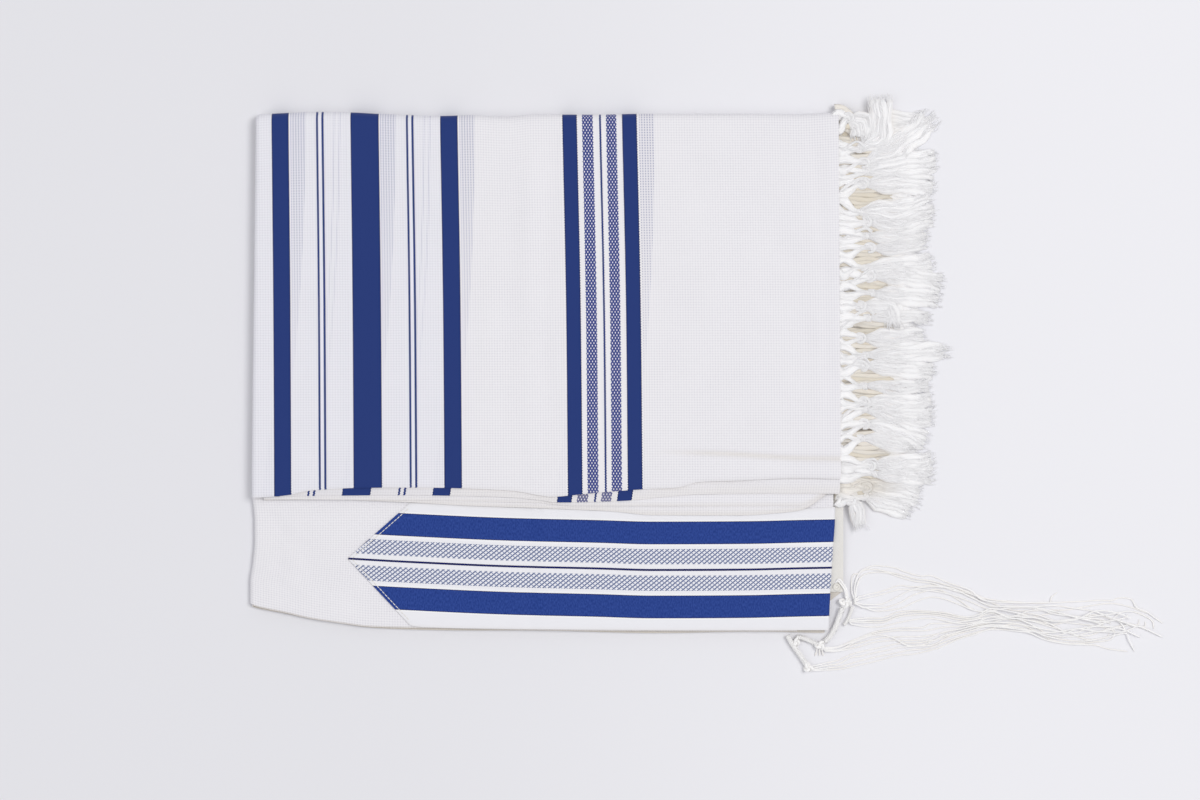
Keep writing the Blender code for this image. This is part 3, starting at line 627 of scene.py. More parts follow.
def lay(routes, d, reach):
    """Heights for strings laid one after another: each rests on the table or
    rides over those under it in a long low hump."""
    done, out = [], []
    for plan in routes:
        z = np.full(len(plan), d / 2)
        if done:
            under = np.vstack(done)
            gap = np.linalg.norm(plan[:, None, :] - under[None, :, :2], axis=2)
            top = under[None, :, 2] + np.sqrt(np.maximum(d * d - gap ** 2, 0.0))
            top = np.where(gap < d, top, 0.0)
            z = np.maximum(z, top.max(1))
        run = np.concatenate([[0], np.cumsum(np.linalg.norm(np.diff(plan, axis=0), axis=1))])
        far = np.abs(run[:, None] - run[None, :])
        hump = z[None, :] - (far / reach) ** 2 * d * 1.2
        z = np.maximum(hump.max(1), d / 2)
        path = np.column_stack([plan, z])
        done.append(path)
        out.append(path)
    return out


START = {"a": (177.0, -164.9, 3.0), "m": (173.6, -176.6, 2.6),
         "b": (156.2, -195.6, 3.0), "c": (147.2, -210.2, 3.0)}
routes, leaves = [], []
for key, text in STRANDS:
    points = [tuple(float(c) for c in pair.split(",")) for pair in text.split()]
    routes.append(catmull(points, 1.0))
    leaves.append(key)
order = sorted(range(len(routes)), key=lambda k: (k * 7) % len(routes))
laid = dict(zip(order, lay([routes[k] for k in order], STRAND, 11.0)))

tassel_cords = []
for k in range(len(routes)):
    path = laid[k].copy()
    sx, sy, sz = START[leaves[k]]
    # the string leaves its knot at the knot's height and settles on the table
    run = np.concatenate([[0], np.cumsum(np.linalg.norm(np.diff(path, axis=0), axis=1))])
    spread = ((k * 5) % 7 - 3) * 0.22
    lift = 1 - ease(run / 16.0)
    path[:, 2] = np.maximum(path[:, 2], path[:, 2] * (1 - lift) + (sz + spread) * lift)
    path = np.vstack([[sx, sy + spread, sz + spread], path])
    path = catmull(path[::2] if len(path) % 2 else np.vstack([path[::2], path[-1]]), 0.85)
    wob = np.sin(np.arange(len(path)) * 0.21 + k * 1.9) * 0.10
    path[:, 1] += wob * ease(np.arange(len(path)) / 20.0)
    r = np.full((1, len(path)), STRAND / 2)
    r[0, -4:] *= [0.95, 0.85, 0.7, 0.45]
    v, f, fl = tubes(path[None], r, 8, lobes=0.13, pitch=3.4)
    v[:, 2] = np.maximum(v[:, 2], 0.01)
    # painted shade: the strings are shaded more the lower they lie
    painted_shade = np.clip(0.55 - v[:, 2] / 3.2, 0.0, 0.5) * 0.8
    obj = make("tassel_string_%02d" % (k + 1), v, f, twine, fl, painted_shade)
    tassel_cords.append((obj, path, leaves[k]))


def trefoil(centre, size, turn, radius, name_count=90):
    """A knot of one cord, as a closed three-lobed loop."""
    t = np.linspace(0, 2 * math.pi, name_count)
    x = (np.sin(t) + 2 * np.sin(2 * t)) / 3.0 * size[0]
    y = (np.cos(t) - 2 * np.cos(2 * t)) / 3.0 * size[1]
    z = -np.sin(3 * t) * size[2]
    c, s = math.cos(turn), math.sin(turn)
    p = np.column_stack([centre[0] + x * c - y * s, centre[1] + x * s + y * c,
                         centre[2] + z])
    return tubes(p[None], radius, 8, lobes=0.10, pitch=2.2)


def wound(points, core, wire, pitch, seed=0):
    """A core of strings wrapped by one string, turn beside turn."""
    axis = catmull(points, 0.25)
    run = np.concatenate([[0], np.cumsum(np.linalg.norm(np.diff(axis, axis=0), axis=1))])
    t = np.gradient(axis, axis=0)
    t /= np.linalg.norm(t, axis=1, keepdims=True)
    a = np.cross(t, [0.0, 0.0, 1.0])
    a /= np.linalg.norm(a, axis=1, keepdims=True)
    b = np.cross(a, t)
    uneven = 1 + 0.05 * np.sin(run * 0.9 + seed)
    ang = 2 * math.pi * (run + 0.25 * np.sin(run * 0.7 + seed)) / pitch
    helix = axis + (core * uneven)[:, None] * (np.cos(ang)[:, None] * a
                                              + np.sin(ang)[:, None] * b)
    steps = max(int(run[-1] / pitch * 16), 24)
    pick = np.linspace(0, len(helix) - 1, steps)
    helix = np.column_stack([np.interp(pick, np.arange(len(helix)), helix[:, i])
                             for i in range(3)])
    parts = [tubes(helix[None], wire / 2, 6)]
    short = axis[::4]
    for k in range(6):                       # the strings inside
        w = k * math.pi / 3 + 0.12 * np.arange(len(short))
        off = core * 0.62
        line = short + off * (np.cos(w)[:, None] * a[::4] + np.sin(w)[:, None] * b[::4])
        parts.append(tubes(line[None], wire * 0.5, 6))
    return joined(parts)


# painted shade, more the lower a vertex lies, capped at most
def painted_shade_by_height(v, scale=3.0, most=0.6):
    return np.clip(0.5 - v[:, 2] / (2 * scale), 0.0, most)


def piece(name, arrays, mat, painted_shade=None):
    v, f, fl = arrays
    return make(name, v, f, mat, fl, np.zeros(len(v)) if painted_shade is None else painted_shade(v))


# loop through the eyelet, then knot, windings and the cut tails at a turn
loop_pts = [(164.9, -152.9, 2.6), (164.6, -150.6, 4.2), (166.0, -150.0, 5.3),
            (168.2, -152.4, 5.5), (170.4, -156.0, 4.9), (171.4, -160.4, 3.9),
            (171.8, -163.4, 3.4)]
loop_two = [(x + 0.9, y + 1.1, z + 0.15) for x, y, z in loop_pts]
twist = []
for n, pts in enumerate((loop_pts, loop_two)):
    twist.append(tubes(catmull(pts, 0.5)[None], 0.62, 8, lobes=0.12, pitch=2.4))
knot_loop = piece("tzitzit_a_loop_cord", joined(twist), twine)

knot_a = piece("tzitzit_a_knot_cord", joined([
    trefoil((170.6, -165.2, 3.2), (4.0, 2.7, 1.35), -0.25, 1.05),
    trefoil((172.6, -165.0, 3.0), (3.2, 2.3, 1.2), 1.25, 0.85)]), twine,
    lambda v: painted_shade_by_height(v, 3.2, 0.5))
wind_a = piece("tzitzit_a_winding_cord", joined([
    wound([(168.6, -168.6, 3.2), (166.4, -175.5, 3.2), (163.9, -182.0, 3.2),
           (160.6, -187.6, 3.2), (157.0, -191.4, 3.2)], 1.75, 0.95, 1.0),
    wound([(176.0, -167.4, 2.6), (174.4, -172.4, 2.2), (172.2, -177.4, 2.1),
           (170.2, -180.0, 2.1)], 1.05, 0.85, 0.95, 2)]), twine,
    lambda v: painted_shade_by_height(v, 3.4, 0.5))
knot_b = piece("tzitzit_b_knot_cord", joined([
    trefoil((153.9, -194.0, 3.1), (3.0, 2.6, 1.4), 0.5, 1.0)] + [
    tubes(catmull([(153.0 + dx, -195.0, 2.6), (152.6 + dx * 1.4, -198.4, 1.4),
                   (152.4 + dx * 1.9, -201.2, 0.8)], 0.5)[None], 0.5, 6)
    for dx in (-0.9, 0.6, 2.0)]), twine, lambda v: painted_shade_by_height(v, 3.2, 0.5))
wind_b = piece("tzitzit_b_winding_cord",
               wound([(137.6, -188.0, 2.5), (143.5, -189.6, 2.5), (149.2, -192.0, 2.5),
                      (152.0, -193.2, 2.8)], 1.45, 0.9, 1.0, 4), twine,
               lambda v: painted_shade_by_height(v, 3.0, 0.5))
wind_c = piece("tzitzit_c_winding_cord", joined([
    wound([(131.4, -187.4, 2.9), (135.0, -193.6, 2.9), (139.4, -199.8, 2.9),
           (143.2, -205.4, 2.9), (144.6, -207.4, 3.0)], 1.6, 0.95, 1.02, 6),
    trefoil((137.4, -191.8, 3.2), (2.9, 2.2, 1.3), 0.9, 0.85)]), twine,
    lambda v: painted_shade_by_height(v, 3.2, 0.5))
knot_c = piece("tzitzit_c_knot_cord",
               trefoil((145.6, -209.2, 3.1), (3.0, 2.6, 1.4), -0.9, 1.0), twine,
               lambda v: painted_shade_by_height(v, 3.2, 0.5))

seen_leaf = set()
for obj, path, key in tassel_cords:
    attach(obj, "root")
    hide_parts("tzitzit_strands")
    seen_leaf.add(key)
for obj, nodes in ((knot_loop, ["tzitzit_a_loop"]), (knot_a, ["tzitzit_a_knot"]),
                   (wind_a, ["tzitzit_a_winding"]), (knot_b, ["tzitzit_b_knot"]),
                   (wind_b, ["tzitzit_b_winding"]), (wind_c, ["tzitzit_c_winding"]),
                   (knot_c, ["tzitzit_c_knot"])):
    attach(obj, "root")
    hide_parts(*nodes)

# ---- the cloth -----------------------------------------------------------
PLY = 0.85              # thickness of the cloth as it shows at its edges
X_LEFT, X_HEM = -234.2, 167.3
Y_FOLD, Y_FRONT = 169.0, -184.0
Z_TOP, Z_CENTRE = 12.8, 6.1
R_HIGH, R_LOW, R_BACK = 3.2, 3.05, 6.4

BACK_FOLD = [(-236, 168.6), (-194, 170.3), (-167, 170.0), (-148, 169.0), (-106, 167.6),
             (-84, 168.1), (-60, 167.1), (-43, 168.6), (3, 168.5), (31, 169.1),
             (113, 169.1), (140, 168.7), (168, 170.3)]
LEFT_FOLDS = [(-184, -235.8), (-165, -235.8), (-152.6, -234.5), (-126, -232.8),
              (-108, -232.8), (-92, -234.2), (-74, -234.2), (42, -232.8),
              (158, -231.5), (184, -231.5)]
HEM_DRIFT = [(-184, 0.0), (-80, 0.0), (42, -0.7), (158, -1.4), (184, -1.4)]
FRONT_EDGE = [(-236, -165.1), (-228, -167.6), (-211, -171.1), (-194, -175.1),
              (-172, -178.5), (-154, -180.8), (-109, -181.9), (-31, -183.3),
              (60, -184.0), (170, -184.0)]
END_EDGE = [(-236, -93.2), (-217, -91.9), (-206, -90.6), (-197, -88.4),
            (-166, -86.3), (-124, -86.0), (-90, -86.5), (-55, -88.4),
            (-38, -91.3), (-29, -92.3), (-2, -89.8), (34, -87.0), (57, -85.9),
            (70, -82.3), (96, -81.3), (136, -79.5), (168, -80.2)]
SECOND_EDGE = [(-236, -92.4), (-196, -91.7), (-130, -91.2), (-65, -92.3),
               (-41, -94.2), (-27, -96.1), (-14, -96.1), (25, -94.7), (48, -92.2),
               (70, -90.6), (121, -90.0), (168, -90.2)]
PAIR_UPPER = [(-236, -93.9), (-113, -94.9), (-38, -96.6), (-17, -98.5), (90, -98.7),
              (140, -98.6), (156, -90.0), (166, -84.0)]
PAIR_LOWER = [(-236, -94.9), (-182, -94.2), (-126, -96.2), (-84, -98.5),
              (-38, -100.0), (12, -102.3), (38, -104.8), (100, -105.0),
              (132, -102.7), (143.3, -100.4), (156, -91.8), (166, -85.0)]
BAND_FAR = [(-168.5, -133.9), (-126.3, -96.5), (-65, -99.3), (3, -100.7),
            (72, -102.0), (106, -102.4), (140, -100.7), (170, -99.0)]
BAND_NEAR = [(-168.5, -135.1), (-126.8, -180.1), (-109, -181.6), (-31, -182.8),
             (60, -183.4), (170, -183.4)]
BAND_MIDDLE = [(-168.5, -134.5), (-133, -136.5), (-65, -139.6), (3, -141.3),
               (37, -142.3), (106, -142.0), (140, -141.2), (170, -140.6)]
CENTRE_FOLD = [(-184, -4.1), (-165.5, -3.5), (-124, -1.0), (-109, 0.0), (-72, 0.6)]
LOWER_HEM = [(-184, 157.0), (-167, 157.0), (-158, 168.2), (-92, 168.2),
             (-86, 166.6), (184, 166.6)]
ROLL_LINE = [(20, -66.0), (48, -63.0), (90, -64.0), (132, -66.6), (168, -67.4)]
ROLL_RISE = [(20, 0.0), (48, 0.5), (90, 1.0), (132, 1.2), (168, 1.2)]

# Main creases of each stretch: from, to, half width, depth (minus is a ridge).
TOP_CREASES = [
    (-44, 160, -46, 40, 6, -0.85), (-30, 150, -34, 30, 5.5, 0.75),
    (-58, 100, -60, -40, 8, 0.55), (-36, 20, -30, -50, 6, 0.65),
    (-45, -30, -40, -80, 6, -0.60), (-232, 39, -140, 38, 3.5, 0.50),
    (-140, 38, -95, 36, 3.5, 0.35), (100, 120, 140, 60, 12, 0.85),
    (118, 60, 160, -10, 11, 1.00), (70, 90, 88, 20, 14, -0.75),
    (150, 150, 158, 60, 4.5, 0.65), (158, 60, 160, -50, 4.5, 0.75),
    (152, 30, 154, -40, 4.5, -0.60), (40, 60, 52, -40, 13, 0.50),
    (-210, -40, -180, -85, 9, 0.50), (-120, -20, -112, -84, 8, 0.45),
    (-190, 130, -186, 60, 7, 0.35), (-75, 60, -72, -20, 7, -0.40),
    (60, 150, 74, 105, 9, 0.50), (100, 10, 122, -58, 10, -0.55)]
CENTRE_CREASES = [
    (-222, -108, -205, -128, 5, 0.95), (-218, -118, -215, -165, 4, 0.85),
    (-205, -130, -188, -160, 7, 0.70), (-226, -150, -196, -166, 4.5, -0.60),
    (-190, -112, -178, -140, 8, -0.50), (-180, -160, -150, -176, 6, 0.60),
    (-206, -112, -202, -160, 5, -0.50), (-228, -101, -150, -99, 4, 0.60),
    (-46, -101, -44, -181, 4.5, 0.85)]
BAND_CREASES = [(-37.5, -98, -37.0, -107, 0.9, 0.75), (-46, -101, -44, -181, 4.5, 0.85),
                (-34, -104, -35, -180, 5, -0.40), (120, -101, 124, -182, 9, 0.18),
                (60, -103, 63, -182, 10, -0.14), (-110, -100, -106, -180, 8, 0.15)]


def creases(x, y, rows):
    """Soft troughs and ridges along given lines."""
    z = np.zeros(np.broadcast(x, y).shape)
    for x0, y0, x1, y1, width, depth in rows:
        dx, dy = x1 - x0, y1 - y0
        t = ((x - x0) * dx + (y - y0) * dy) / (dx * dx + dy * dy)
        tc = np.clip(t, 0, 1)
        d = np.hypot(x - x0 - tc * dx, y - y0 - tc * dy)
        z -= depth * np.exp(-(d / width) ** 2) * (0.55 + 0.45 * np.sin(math.pi * tc))
    return z


def settle(x, y):
    left = (read(LEFT_FOLDS, y) - X_LEFT) * ease((-90 - x) / 140)
    right = read(HEM_DRIFT, y) * ease((x - 60) / 100)
    back = (read(BACK_FOLD, x) - Y_FOLD) * ease((y - 60) / 100)
    front = (read(FRONT_EDGE, x) - Y_FRONT) * ease((-110 - y) / 72)
    return x + left + right, y + back + front


def lean(x, y):
    return x + read(CENTRE_FOLD, y) * ease((x - 60) / 100)


def spaced(a, b, step):
    return np.linspace(a, b, max(int(abs(b - a) / step) + 1, 2))


def nose(radius, turn, count):
    """Left fold from under (at turn) to the top: x, depth below the top, u."""
    ang = np.linspace(turn, 0, count)
    return (X_LEFT + radius - radius * np.sin(ang), radius * (1 - np.cos(ang)),
            X_LEFT + radius - radius * ang)


def stripe_drift(x, y):
    """The stripes run slightly askew on the upper quarter."""
    lean_x = ease((x + 240) / 260)
    return read([(-95, 1.4), (42, 0.0), (166, -2.7)], y) * (0.45 + 0.55 * lean_x)


# upper end quarter, its wrong side up
back_x, back_w, back_u = nose(R_HIGH, math.radians(172), 12)
run_x = spaced(-215.0, X_LEFT + R_HIGH, 4.0)[:-1]
flat_x = spaced(X_LEFT + R_HIGH, X_HEM, 2.6)[1:]
px = np.concatenate([back_x, flat_x])
pw = np.concatenate([back_w, np.zeros(len(flat_x))])
pu = np.concatenate([back_u, flat_x])
rows_p, rows_f, rows_t = [], [], []
for ang in np.linspace(math.pi, 0, 17):
    y = Y_FOLD - R_BACK + (R_BACK - pw) * math.sin(ang)
    z = R_BACK + (R_BACK - pw) * math.cos(ang)
    sx, sy = settle(px, y)
    if ang < math.pi / 2:
        z = z + creases(px, y, TOP_CREASES) * math.cos(ang)
    v = np.full(len(px), Y_FOLD - R_BACK + R_BACK * ang)
    rows_p.append(np.column_stack([sx, sy, z]))
    rows_f.append(np.column_stack([pu + sx - px - stripe_drift(px, y), v, np.full(len(px), 0.9)]))
    # painted shade on the lower side of the back fold, as it turns under
    rows_t.append(np.full(len(px), 0.25) * ease((ang - 1.2) / 1.5))
near = read(END_EDGE, px)
shares = np.concatenate([spaced(0.03, 0.80, 0.012), spaced(0.81, 1.0, 0.006)])
for s in shares:
    y = (Y_FOLD - R_BACK) * (1 - s) + near * s
    sx, sy = settle(px, y)
    z = Z_TOP - pw
    crease, rise = read(ROLL_LINE, px), read(ROLL_RISE, px)
    along = np.clip((crease - y) / np.maximum(crease - near, 1.0), 0, 1)
    inside = (px > 20) & (y < crease)
    z = z + np.where(inside, rise * np.sin(math.pi * np.minimum(along * 0.8, 1.0)), 0.0)
    trough = np.exp(-((y - crease - 1.2) / 1.9) ** 2) * ease((px - 25) / 60)
    z = z - 1.45 * trough
    z = z + creases(px, y, TOP_CREASES) * ease((px + 231) / 8)
    z = z + 0.10 * np.sin(px / 13.0 + y / 29.0) * np.sin(y / 17.0 - px / 41.0)
    edge = ease((near + 2.6 - y) / 2.6)
    z = z - 0.55 * edge * (pw < 0.1)
    hem = ease((px - 163.0) / 4.0)
    z = z - 0.4 * hem
    fade = read([(-100, 0.10), (-26, 0.12), (40, 0.45), (120, 0.80), (170, 0.95)], y)
    rows_p.append(np.column_stack([sx, sy, z]))
    rows_f.append(np.column_stack([pu + sx - px - stripe_drift(px, y), y, fade]))
    # painted shade: warm shade in the trough before the roll, and a little along the near edge
    painted_trough_shade = 0.34 * np.exp(-((y - crease - 1.0) / 1.7) ** 2) * ease((px - 30) / 60)
    rows_t.append(painted_trough_shade + 0.10 * edge)
cloth_top = shell("cloth_end_quarter", np.array(rows_p), PLY, np.array(rows_f),
                  cloth_top_mat, np.array(rows_t), side=1.0)

# other end quarter: its edge shows under the first
radius = 1.15
ang = np.linspace(math.pi, 0, 9)
sx0 = X_LEFT + 3.0
px = np.concatenate([spaced(-190, sx0 + radius, 8)[:-1],
                     sx0 + radius - radius * np.sin(ang), spaced(sx0 + radius, X_HEM - 0.4, 3.2)[1:]])
pz = np.concatenate([np.full(len(spaced(-190, sx0 + radius, 8)) - 1, 0.0),
                     radius * (1 + np.cos(ang)), np.full(len(spaced(sx0 + radius, X_HEM - 0.4, 3.2)) - 1, 2 * radius)])
rows_p, rows_f, rows_t = [], [], []
edge_y = read(SECOND_EDGE, px)
for s in np.concatenate([[0.0, 0.12, 0.25, 0.4, 0.55, 0.7], spaced(0.78, 1.0, 0.012)]):
    y = 150.0 * (1 - s) + edge_y * s
    x1, y1 = settle(px, y)
    droop = ease((s - 0.955) / 0.045)
    z = 11.3 - 2 * radius + pz - 0.35 * droop
    z = z + 0.25 * np.sin(px / 27.0) * ease((-70 - y) / 20.0) * ease((px - 20) / 60)
    under_top = np.clip((y - read(END_EDGE, px) + 1.2) / 2.2, 0, 1)
    u = px - (ASKEW[0] + ASKEW[1] * y + ASKEW[2] * y * y) + np.where(pz < 2 * radius, -1e3, 0.0) * (pz < 0.1)
    rows_p.append(np.column_stack([x1, y1, z]))
    u = u + x1 - px - 1.0 - 1.8 * ease((px + 120) / 100)
    rows_f.append(np.column_stack([u, y, np.zeros(len(px))]))
    # painted shade under the end quarter's edge and on this ply's drooping edge
    rows_t.append(0.22 * ease(under_top) + 0.20 * droop)
cloth_second = shell("cloth_second_end_quarter", np.array(rows_p), PLY, np.array(rows_f),
                     cloth, np.array(rows_t), side=1.0)

# turned-over centre quarters: two plies joined by the centre fold
tip_x, r_tip = 162.0, 1.05
ang = np.linspace(0, math.pi, 9)
upper = spaced(-226, tip_x - r_tip, 3.0)
px = np.concatenate([upper, tip_x - r_tip + r_tip * np.sin(ang)[1:], upper[::-1][1:]])
pz = np.concatenate([np.full(len(upper), 9.85), 8.8 + r_tip * np.cos(ang)[1:],
                     np.full(len(upper) - 1, 7.75 + 0.0)])
share = np.concatenate([np.zeros(len(upper)), (ang / math.pi)[1:], np.ones(len(upper) - 1)])
near = read(PAIR_UPPER, px) * (1 - share) + read(PAIR_LOWER, px) * share
rows_p, rows_f, rows_t = [], [], []
for s in np.concatenate([[0.0, 0.3, 0.55], spaced(0.7, 1.0, 0.03)]):
    y = -40.0 * (1 - s) + near * s
    x1, y1 = settle(px, y)
    droop = ease((s - 0.94) / 0.06)
    z = pz - 0.25 * droop * (1 - share)
    z = z + 0.20 * np.sin(px / 33.0 + 1.0) * (1 - share) * s
    rows_p.append(np.column_stack([x1, y1, z]))
    rows_f.append(np.column_stack([px * 1.0 + 900.0, y, np.zeros(len(px))]))
    shade = np.clip((y - read(SECOND_EDGE, px) + 1.0) / 2.0, 0, 1)
    # painted shade under the second ply's edge, on the drooping edge and a little on the lower ply
    rows_t.append(0.12 * ease(shade) + 0.26 * droop + 0.04 * share)
cloth_pair = shell("cloth_centre_fold", np.array(rows_p), PLY, np.array(rows_f), cloth,
                   np.array(rows_t), side=1.0, inside=0.03)

# centre quarter under the neckband, round both its folds
nx, nw, nu = nose(R_LOW, math.pi, 14)
r_fold = 1.1
cx = 162.5 - r_fold
ang = np.linspace(0, math.pi, 9)[1:]
flat_x = spaced(X_LEFT + R_LOW, cx, 3.0)[1:]
px = np.concatenate([nx, flat_x, cx + r_fold * np.sin(ang)])
pz = np.concatenate([Z_CENTRE - nw, np.full(len(flat_x), Z_CENTRE),
                     Z_CENTRE - r_fold + r_fold * np.cos(ang)])
pu = np.concatenate([nu, flat_x, cx + r_fold * ang]) + 900.0
rows_p, rows_f, rows_t = [], [], []
for y0 in np.concatenate([spaced(162.6, -60, 9.0), spaced(-66, -183.4, 2.6)]):
    y = np.full(len(px), y0)
    x1 = lean(px, y) if y0 < -60 else px + 0.6 * ease((px - 60) / 100)
    x1, y1 = settle(x1, y)
    z = pz.copy()
    if y0 > 150:
        z = np.where(px < X_LEFT + R_LOW, pz * (6.4 / 6.1), pz)
    z = z + creases(px, y, CENTRE_CREASES) * (pz > Z_CENTRE - 0.01) * ease((px + 231) / 6)
    z = z - 0.5 * ease((-180.6 - y) / 2.8) * (pz > Z_CENTRE - 0.01)
    rows_p.append(np.column_stack([x1, y1, z]))
    rows_f.append(np.column_stack([pu, y, np.zeros(len(px))]))
    over = np.where(px < -126, read(SECOND_EDGE, px), read(PAIR_LOWER, px))
    shade = np.clip((y0 - over + 2.6) / 4.2, 0, 1)
    # painted shade under the edges of the plies above and low on the folds
    rows_t.append(0.16 * ease(shade) + 0.30 * ease((1.5 - pz) / 1.5))
cloth_centre = shell("cloth_centre_quarter", np.array(rows_p), PLY, np.array(rows_f),
                     cloth, np.array(rows_t), side=1.0)

# the plies that don't show: an inner one folded at the left, and the lowest
r_in = 1.75
ang = np.linspace(math.pi, 0, 10)
low = spaced(164.5, X_LEFT + 1.3 + r_in, 6.0)
top = spaced(X_LEFT + 1.3 + r_in, 138.0, 6.0)
px = np.concatenate([low[:-1], X_LEFT + 1.3 + r_in - r_in * np.sin(ang), top[1:]])
pz = np.concatenate([np.full(len(low) - 1, 1.25), 3.0 + r_in * -np.cos(ang[::-1]) * -1,
                     np.full(len(top) - 1, 4.75)])
pz[len(low) - 1:len(low) - 1 + len(ang)] = 3.0 - r_in * np.cos(np.linspace(0, math.pi, 10))
rows_p, rows_f = [], []
for y0 in np.concatenate([spaced(160.0, -60.0, 20.0), spaced(-70.0, -183.0, 6.0), [-184.3]]):
    y = np.full(len(px), y0)
    bottom = pz < 2.9
    hem = read(LOWER_HEM, y) - 0.8
    x1 = np.where(bottom & (px > 120), 120 + (px - 120) * (hem - 120) / 44.5, px)
    x1, y1 = settle(x1, y + np.where(bottom & (y0 < -180), -0.9 - 0.5 * np.sin(px / 23.0), 0.0))
    rows_p.append(np.column_stack([x1, y1, pz]))
    rows_f.append(np.column_stack([px + 900.0, y, np.zeros(len(px))]))
# even painted shade on the inner plies
cloth_inner = shell("cloth_inner_plies", np.array(rows_p), PLY, np.array(rows_f), cloth,
                    np.full((len(rows_p), len(px)), 0.35), side=1.0)

px = spaced(X_LEFT + R_LOW - 0.6, 166.0, 5.0)
rows_p, rows_f = [], []
for y0 in np.concatenate([spaced(162.6, -60.0, 12.0), spaced(-70.0, -183.2, 6.0), [-184.4]]):
    y = np.full(len(px), y0)
    hem = read(LOWER_HEM, y)
    x1 = np.where(px > 120, 120 + (px - 120) * (hem - 120) / 46.0, px)
    out = ease((px - 105) / 30)              # it stands out a little near the hem only
    x1, y1 = settle(x1, y + (0.9 - 1.4 * out if y0 < -184 else 0.0) + (
        -0.6 * out * np.sin(px / 31.0 + 2.0) ** 2 if y0 < -180 else 0.0))
    rows_p.append(np.column_stack([x1, y1, np.zeros(len(px))]))
    rows_f.append(np.column_stack([px, y, np.zeros(len(px))]))
# even painted shade on the lowest ply
cloth_base = shell("cloth_lowest_ply", np.array(rows_p), PLY, np.array(rows_f), cloth,
                   np.full((len(rows_p), len(px)), 0.25), side=-1.0)


# ---- neckband (atarah) ---------------------------------------------------
BAND = 0.75
lift = 1.3
r_band = r_fold + lift
ang = np.linspace(0, math.radians(112), 8)[1:]
flat_x = spaced(-168.5, cx, 2.2)
px = np.concatenate([flat_x, cx + r_band * np.sin(ang)])
pz = np.concatenate([np.full(len(flat_x), Z_CENTRE + lift),
                     Z_CENTRE - r_fold + r_band * np.cos(ang)])
pu = np.concatenate([flat_x, cx + r_band * ang])
far, near = read(BAND_FAR, px), read(BAND_NEAR, px)
t = (px + 168.5) / 42.2
far = np.where(px < -126.3, -133.9 + 37.4 * t, far)
near = np.where(px < -126.3, -135.1 - 45.0 * t, near)
rows_p, rows_f, rows_t = [], [], []
for s in spaced(0, 1, 1 / 36.0):
    y = far * (1 - s) + near * s
    x1 = lean(px, y)
    z = pz + creases(px, y, BAND_CREASES) * (px < cx)
    rim = np.minimum((far - y), (y - near))
    z = z - 0.30 * np.exp(-(rim / 1.1) ** 2) * (px < cx)
    z = z + 0.05 * np.sin(px / 6.0) * np.sin(y / 9.0)
    w = y - read(BAND_MIDDLE, px)
    rows_p.append(np.column_stack([x1, y, z]))
    rows_f.append(np.column_stack([pu, w, np.zeros(len(px))]))
    # painted shade along the band's edges
    rows_t.append(0.12 * np.exp(-(rim / 0.8) ** 2))
atarah = shell("atarah_band", np.array(rows_p), BAND, np.array(rows_f), satin_band,
               np.array(rows_t), side=1.0)

# stitches along the slanted ends
dashes = []


def stitch_line(a, b, z, length, gap, radius):
    a, b = np.array(a, float), np.array(b, float)
    total = np.linalg.norm(b - a)
    way = (b - a) / total
    at = 0.4
    while at + length < total:
        p, q = a + way * at, a + way * (at + length)
        arch = [(*p, z - 0.25), (*(p * 0.75 + q * 0.25), z + radius * 0.6),
                (*(p * 0.25 + q * 0.75), z + radius * 0.6), (*q, z - 0.25)]
        dashes.append(tubes(np.array(arch)[None], radius, 5))
        at += length + gap


z_band = Z_CENTRE + lift
stitch_line((-165.9, -134.4), (-125.6, -98.8), z_band - 0.02, 2.2, 0.5, 0.30)
stitch_line((-165.9, -134.9), (-125.8, -177.8), z_band - 0.02, 2.2, 0.5, 0.30)
stitches = piece("atarah_stitches", joined(dashes), thread)

# ---- corner patch, with its eyelet ---------------------------------------
rows_p, rows_f = [], []
for y in spaced(-89.8, -157.4, 2.0):
    row_x = spaced(140.5, 169.6, 1.6)
    z = np.full(len(row_x), 3.75) - 0.35 * ease((row_x - 167.6) / 2.0)
    z = z + 0.12 * np.sin(y / 7.0) * ease((row_x - 160) / 6.0)
    rows_p.append(np.column_stack([row_x, np.full(len(row_x), y), z]))
    rows_f.append(np.column_stack([row_x, np.full(len(row_x), y), np.zeros(len(row_x))]))
patch = shell("corner_patch_tape", np.array(rows_p), 0.85, np.array(rows_f), tape,
              None, side=1.0)
rings = []
for k in range(22):                          # buttonhole stitches round the eyelet
    a = 2 * math.pi * k / 22
    c, s = math.cos(a), math.sin(a)
    pts = [(165.1 + 1.2 * c, -154.1 + 1.2 * s, 3.6), (165.1 + 1.6 * c, -154.1 + 1.6 * s, 4.3),
           (165.1 + 2.4 * c, -154.1 + 2.4 * s, 4.3), (165.1 + 2.9 * c, -154.1 + 2.9 * s, 3.6)]
    rings.append(tubes(np.array(pts)[None], 0.33, 5))
eyelet = piece("corner_eyelet", joined(rings), thread)

